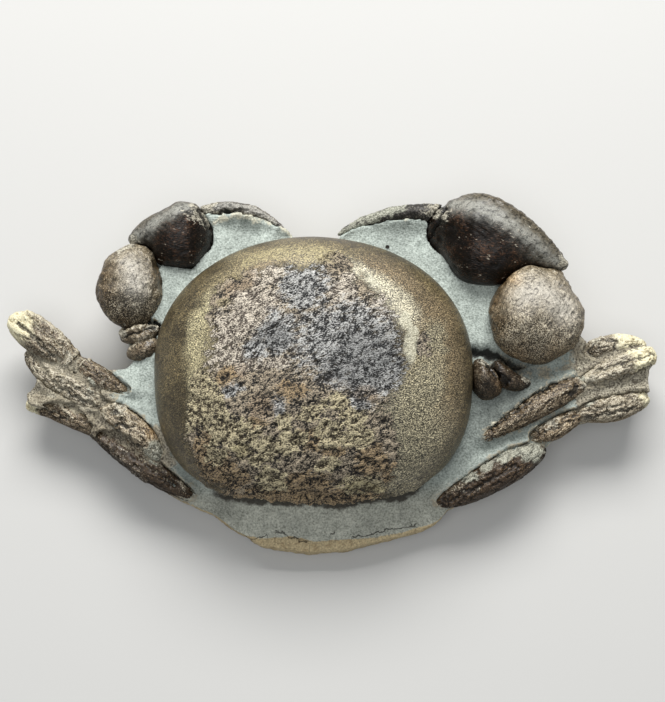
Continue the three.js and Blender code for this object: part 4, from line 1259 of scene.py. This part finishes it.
def swept(heights, pick):
    """Each cell takes the highest, or the lowest, of the cells within reach."""
    span = int(FILL_REACH / FILL_CELL)
    best = heights
    for i in range(-span, span + 1):
        for j in range(-span, span + 1):
            if math.hypot(i, j) <= span:
                best = pick(best, np.roll(heights, (i, j), (0, 1)))
    return best


def evened(heights, rounds=2):
    """The known heights, each averaged with its known neighbours."""
    known = heights > NOTHING / 2
    count = np.maximum(sum(np.roll(known, shift, (0, 1)).astype(float) for shift in NEIGHBOURS), 1)
    for _ in range(rounds):
        total = sum(np.roll(np.where(known, heights, 0), shift, (0, 1)) for shift in NEIGHBOURS)
        heights = np.where(known, total / count, heights)
    return heights


sheet = evened(swept(swept(top_map(limbs[n] for n in limbs if "leg" in n), np.maximum), np.minimum))
print("the sheet covers", round((sheet > NOTHING / 2).sum() * FILL_CELL ** 2), "mm2")

# %% How far the stone is from the fossils, and how thick it is, in millimetres
def tree_of(things):
    """A search tree over the faces of some pieces."""
    points, faces = [], []
    for thing in things:
        first = len(points)
        points.extend(tuple(p) for p in points_of(thing.data))
        faces.extend([first + i for i in p.vertices] for p in thing.data.polygons)
    return BVHTree.FromPolygons(points, faces)


def gap_to(things, points, reach):
    """How far each point is from the nearest of the things, in millimetres, and where that is."""
    tree = tree_of(things)
    found = [tree.find_nearest(Vector(p), reach * MM) for p in points]
    nearest = np.array([p if hit[0] is None else tuple(hit[0]) for p, hit in zip(points, found)])
    return np.array([reach if hit[0] is None else hit[3] / MM for hit in found]), nearest


THICK, THIN = 12.0, 2.0
STEEP = 0.25
UNDER_SKIN = 0.05


def thickness_of(points, normals, gap):
    """How much stone is straight below or above each point, in millimetres, up to a limit."""
    tree = tree_of([stone])
    steep = np.abs(normals[:, 2]) <= STEEP
    thickness = np.where(steep & (gap > 1.0), THIN, THICK)
    for i in np.nonzero(~steep)[0]:
        side = math.copysign(1, normals[i, 2])
        start = Vector(points[i]) - Vector((0, 0, side * UNDER_SKIN * MM))
        hit = tree.ray_cast(start, Vector((0, 0, -side)), THICK * MM)
        if hit[0] is not None:
            thickness[i] = hit[3] / MM
    return thickness


print("measures ready")

# %% [markdown]
# The body is raised in three steps: the fillets, then the hollows that the sheet spans, and last of
# all any point that nearly touches a fossil is drawn right onto it. A region of the stone is a pair
# of distances from the middle: it begins at the first and is whole at the second.

# %% The stone's body
SHELL_MIDDLE = -4
BEHIND_SHELL = (24, 30)
BESIDE_SHELL = (33, 26)
LEFT_WING = (56, 63)
RIGHT_WING = (63, 70)
LEFT_OF_SHELL = (38, 48)
REAR_OF_LEGS = (12, 18)
INNER_DEPTH, OUTER_DEPTH = 2.0, 0.8
MOST_FILL = 8
GAP_REACH, SNUG_REACH = 6.0, 4.0
SNUG_EDGE = (1.3, 0.4)

stone = rounded("fossil_matrix", "stone", STONE_VOXEL * MM, fitting=0, smoothing=5)
draw_strokes(stone, "stone")
fossils = {"shell": shell, **limbs}
points, normals = points_of(stone.data), normals_of(stone.data)
x, y, _ = points.T / MM
upper = climb(normals[:, 2], 0.0, 0.5)
rear_of_shell = climb(-y, *BEHIND_SHELL) * climb(np.abs(x - SHELL_MIDDLE), *BESIDE_SHELL)
gaps = {}
for group, (reach, height) in FILLETS.items():
    gaps[group], _ = gap_to([fossils[n] for n in fossils if group in n], points, GAP_REACH)
    fillet = height * (1 - np.clip(gaps[group] / reach, 0, 1)) ** 2
    if group == "shell":
        reach, depth = REAR_UNDERCUT
        undercut = depth * (1 - np.clip(gaps[group] / reach, 0, 1)) ** 1.5
        fillet = fillet * (1 - rear_of_shell) - undercut * rear_of_shell
    points[:, 2] += fillet * upper * MM
left_rear = climb(-x, *LEFT_OF_SHELL) * climb(-y, *REAR_OF_LEGS)
web = np.maximum(np.maximum(climb(-x, *LEFT_WING), left_rear), climb(x, *RIGHT_WING))
goal = sheet[plan_cell(points)] - (INNER_DEPTH + (OUTER_DEPTH - INNER_DEPTH) * web)
fill = np.clip(goal - points[:, 2] / MM, 0, MOST_FILL) * (goal > 0) * (normals[:, 2] > 0.1)
points[:, 2] += fill * MM
gap, nearest = gap_to(fossils.values(), points, SNUG_REACH)
snug = climb(gap, *SNUG_EDGE) * climb(normals[:, 2], -0.2, 0.3) * (1 - rear_of_shell)
points += (nearest - points) * snug[:, None]
set_points(stone.data, points)
report(stone)

# %% What the stone's finish reads
RIM_THICKNESS = (6.2, 3.0)
RIM_GAP = (0.3, 1.2)
STAIN_EDGE = (-0.5, 0.7)
STAIN_BEHIND = (33, 36)
DIRT_GAP = (1.7, 0.1)
SHADOW_GAP = (5.4, 2.8)

plan = points[:, :2] / MM
stone_values = {
    # the darkening spots: partly browner stone, partly painted shade and shadow
    "shade": np.max([strength * near_spots(plan, [spot]) for *spot, strength in SHADOW_AND_TONE_SPOTS], 0),
    "stain": climb(-in_front_of(plan, REAR_RIM), *STAIN_EDGE) * climb(-plan[:, 1], *STAIN_BEHIND),
    "web": web,
    "crack": crack_offset(plan),
    "dirt": np.maximum(climb(gaps["leg"], *DIRT_GAP) * 0.55, near_spots(plan, SOIL_SPOTS) * 0.6),
    "shadow": climb(gaps["shell"], *SHADOW_GAP) * rear_of_shell,
    "rim": climb(thickness_of(points, normals, gap), *RIM_THICKNESS) * climb(gap, *RIM_GAP),
    "gap": gap,
    "below": climb(-normals[:, 2], 0.1, 0.6),
}
for name, values in stone_values.items():
    keep_values(stone.data, name, values)
print("kept on the stone:", list(stone_values))

# %% The tree that roughens the stone
def stone_tree(material):
    tree, geometry, size = new_tree(
        "stone_relief", swell_size=14.0, swell_depth=0.9, lump_size=3.6, lump_depth=0.5, grain_size=1.2,
        grain_depth=0.25, chip_size=2.4, chip_depth=1.2,
    )
    spot = scaled(add(tree, "GeometryNodeInputPosition"), 1 / MM)
    swell = noise(spot, size["swell_size"], 2, seed=41) - 0.5
    lumps = noise(spot, size["lump_size"], 3, 0.55, seed=42) - 0.5
    grains = noise(spot, size["grain_size"], 2, 0.65, seed=43) - 0.5
    chips = noise(spot, size["chip_size"], 3, 0.6, seed=44) - 0.5
    relief = lumps * size["lump_depth"] + grains * size["grain_depth"]
    relief = relief + stored(tree, "rim") * chips * size["chip_depth"]
    kept = keep(geometry, "relief", 0.5 + relief)
    offset = relief + swell * size["swell_depth"] * step(stored(tree, "gap"), 0.0, 2.5)
    push = scaled(add(tree, "GeometryNodeInputNormal"), offset * MM)
    moved = add(tree, "GeometryNodeSetPosition", {"Geometry": kept, "Offset": push})
    x, y, z = parts(add(tree, "GeometryNodeInputPosition"))
    above_floor = joined(x, y, z.math("MAXIMUM", 0))
    resting = add(tree, "GeometryNodeSetPosition", {"Geometry": moved, "Position": above_floor})
    end_tree(resting, material)
    return tree


# %% [markdown]
# Siltstone is a fine mix of pale and dark grains with a green cast. Its broken rims are cream, the rear lip
# is stained tan along its lower edge, and the underside wears the same rind. Shadow is painted on the stone
# behind the shell's rear margin and in the crevices beside the claws, and darkening spots paint shade and
# shadow in places.

# %% Stone finish: colours as seen on a screen, and sizes in millimetres
STONE_SPECK, STONE_CLUMP, STONE_CLOUD = 0.5, 2.0, 12
SILT = (112, 120, 114), (200, 210, 203)
RIND = (130, 112, 82), (190, 174, 138)
SOIL = (58, 50, 40), (158, 150, 130)
WEB = (68, 57, 43), (186, 178, 158)
VEIN = (170, 166, 146), (216, 212, 192)
CLOUD_GREY = (120, 128, 124)
CREAM_RIM = (202, 197, 172)
TAN_RIM = (178, 162, 128)
BROWN_RIM = (140, 120, 88)
UNDERCUT_SHADOW_BROWN = (40, 34, 26)
CREVICE_SHADOW_BROWN = (20, 17, 13)
CRACK_BROWN = (30, 27, 22)
REAR_CAST = (1.1, 1.0, 0.93)
WEB_CAST = (0.3, 0.23, 0.2)
REAR_BAND = (-28, -36)
FRONT_BAND = (12, 24)
PINHOLE_EDGE = (0.62, 0.42)


def stone_finish():
    material, tree, place = new_finish("siltstone")
    speck = noise(place, STONE_SPECK, 1, 0.6, seed=51)
    clump = noise(place, STONE_CLUMP, 2, 0.6, seed=52)
    cloud = noise(place, STONE_CLOUD, 3, 0.6, seed=53)
    rim, tint, shade = stored(tree, "rim"), stored(tree, "tint"), stored(tree, "shade")
    grit = speck - 0.5
    # with the relief, darker in its hollows and lighter on its high spots: painted shade and painted light
    tone = grit + (clump - 0.5) * 0.5 + (stored(tree, "relief") - 0.5) * 0.3
    colour = two_tone(*SILT, tone, -0.34, 0.3)
    colour = mixed(colour, linear(*CLOUD_GREY), step(cloud, 0.54, 0.72) * 0.35)
    # darker where the spots lie: partly browner stone, partly painted shade and shadow
    colour = scaled(colour, 1 - shade)
    x, y, _ = parts(place)
    rear = step(y, *REAR_BAND)
    colour = cast(colour, REAR_CAST, rear)
    rim_colour = mixed(linear(*CREAM_RIM), linear(*TAN_RIM), rear)
    rim_colour = mixed(rim_colour, linear(*BROWN_RIM), step(clump, 0.5, 0.66) * 0.5)
    rim_colour = gritty(rim_colour, speck, 1.4)
    worn = rim * (0.9 - 0.55 * step(y, *FRONT_BAND)) + stored(tree, "stain")
    worn = worn + (clump - 0.5) * 0.9 + grit * 0.5
    colour = mixed(colour, rim_colour, step(worn, 0.4, 0.8))
    rind = stored(tree, "below") * step(cloud + (clump - 0.5) * 0.4, 0.38, 0.52)
    colour = mixed(colour, two_tone(*RIND, tone, -0.2, 0.2), rind)
    web_colour = two_tone(*WEB, tone + (cloud - 0.5) * 0.5, -0.17, 0.18)
    web = step(stored(tree, "web") + (clump - 0.5) * 1.0, 0.3, 0.7)
    colour = mixed(colour, cast(web_colour, WEB_CAST, shade), web * 0.9)
    dirt = step(stored(tree, "dirt") + (clump - 0.5) * 1.4 + grit * 0.8, 0.35, 0.7)
    colour = mixed(colour, two_tone(*SOIL, tone, -0.24, 0.24), dirt * 0.85)
    # painted shadow of the shell's overhanging rear margin on the stone behind it
    undercut = step(stored(tree, "shadow") + (clump - 0.5) * 1.6, 0.3, 0.9)
    colour = mixed(colour, linear(*UNDERCUT_SHADOW_BROWN), undercut * 0.9)
    # the dark tint of the crevices beside the claws: painted shadow
    colour = mixed(colour, linear(*CREVICE_SHADOW_BROWN), step(tint + grit * 0.3, -0.2, -0.8) * 0.9)
    raised = step(tint + (clump - 0.5) * 1.2 + grit * 0.8, 0.25, 0.7) * ramp(tint, 0.05, 0.3)
    colour = mixed(colour, two_tone(*VEIN, tone, -0.24, 0.24), raised * 0.8)
    crack = step((stored(tree, "crack") + (clump - 0.5) * 3.4).math("ABSOLUTE"), 0.26, 0.04)
    hole = step(((x - PINHOLE[0]) ** 2 + (y - PINHOLE[1]) ** 2).math("SQRT"), *PINHOLE_EDGE)
    colour = mixed(colour, linear(*CRACK_BROWN), (crack * 0.7).math("MAXIMUM", hole))
    height = speck * 0.8 + clump - crack * 1.5 - hole * 4
    return end_finish(material, colour, 0.8 + 0.2 * grit, height, 0.3 * MM, specular=0.3)


stone_material = stone_finish()
run_tree(stone, stone_tree(stone_material))
report(stone)

# %% [markdown]
# ## Pieces on their body
#
# Every finished piece rides on the part's one body and stands in for its solid, which is hidden.

# %% Pieces on their body
SLOTS = {"shell": "shell", "stone": "stone"}
pieces = {"shell": shell, "stone": stone, **limbs}
for node, piece in pieces.items():
    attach(piece, "root")
    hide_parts(node)
    SLOTS.get(node, "claw" if "claw" in node else "leg")
print(len(pieces), "pieces,", sum(map(triangles_in, pieces.values())), "triangles")
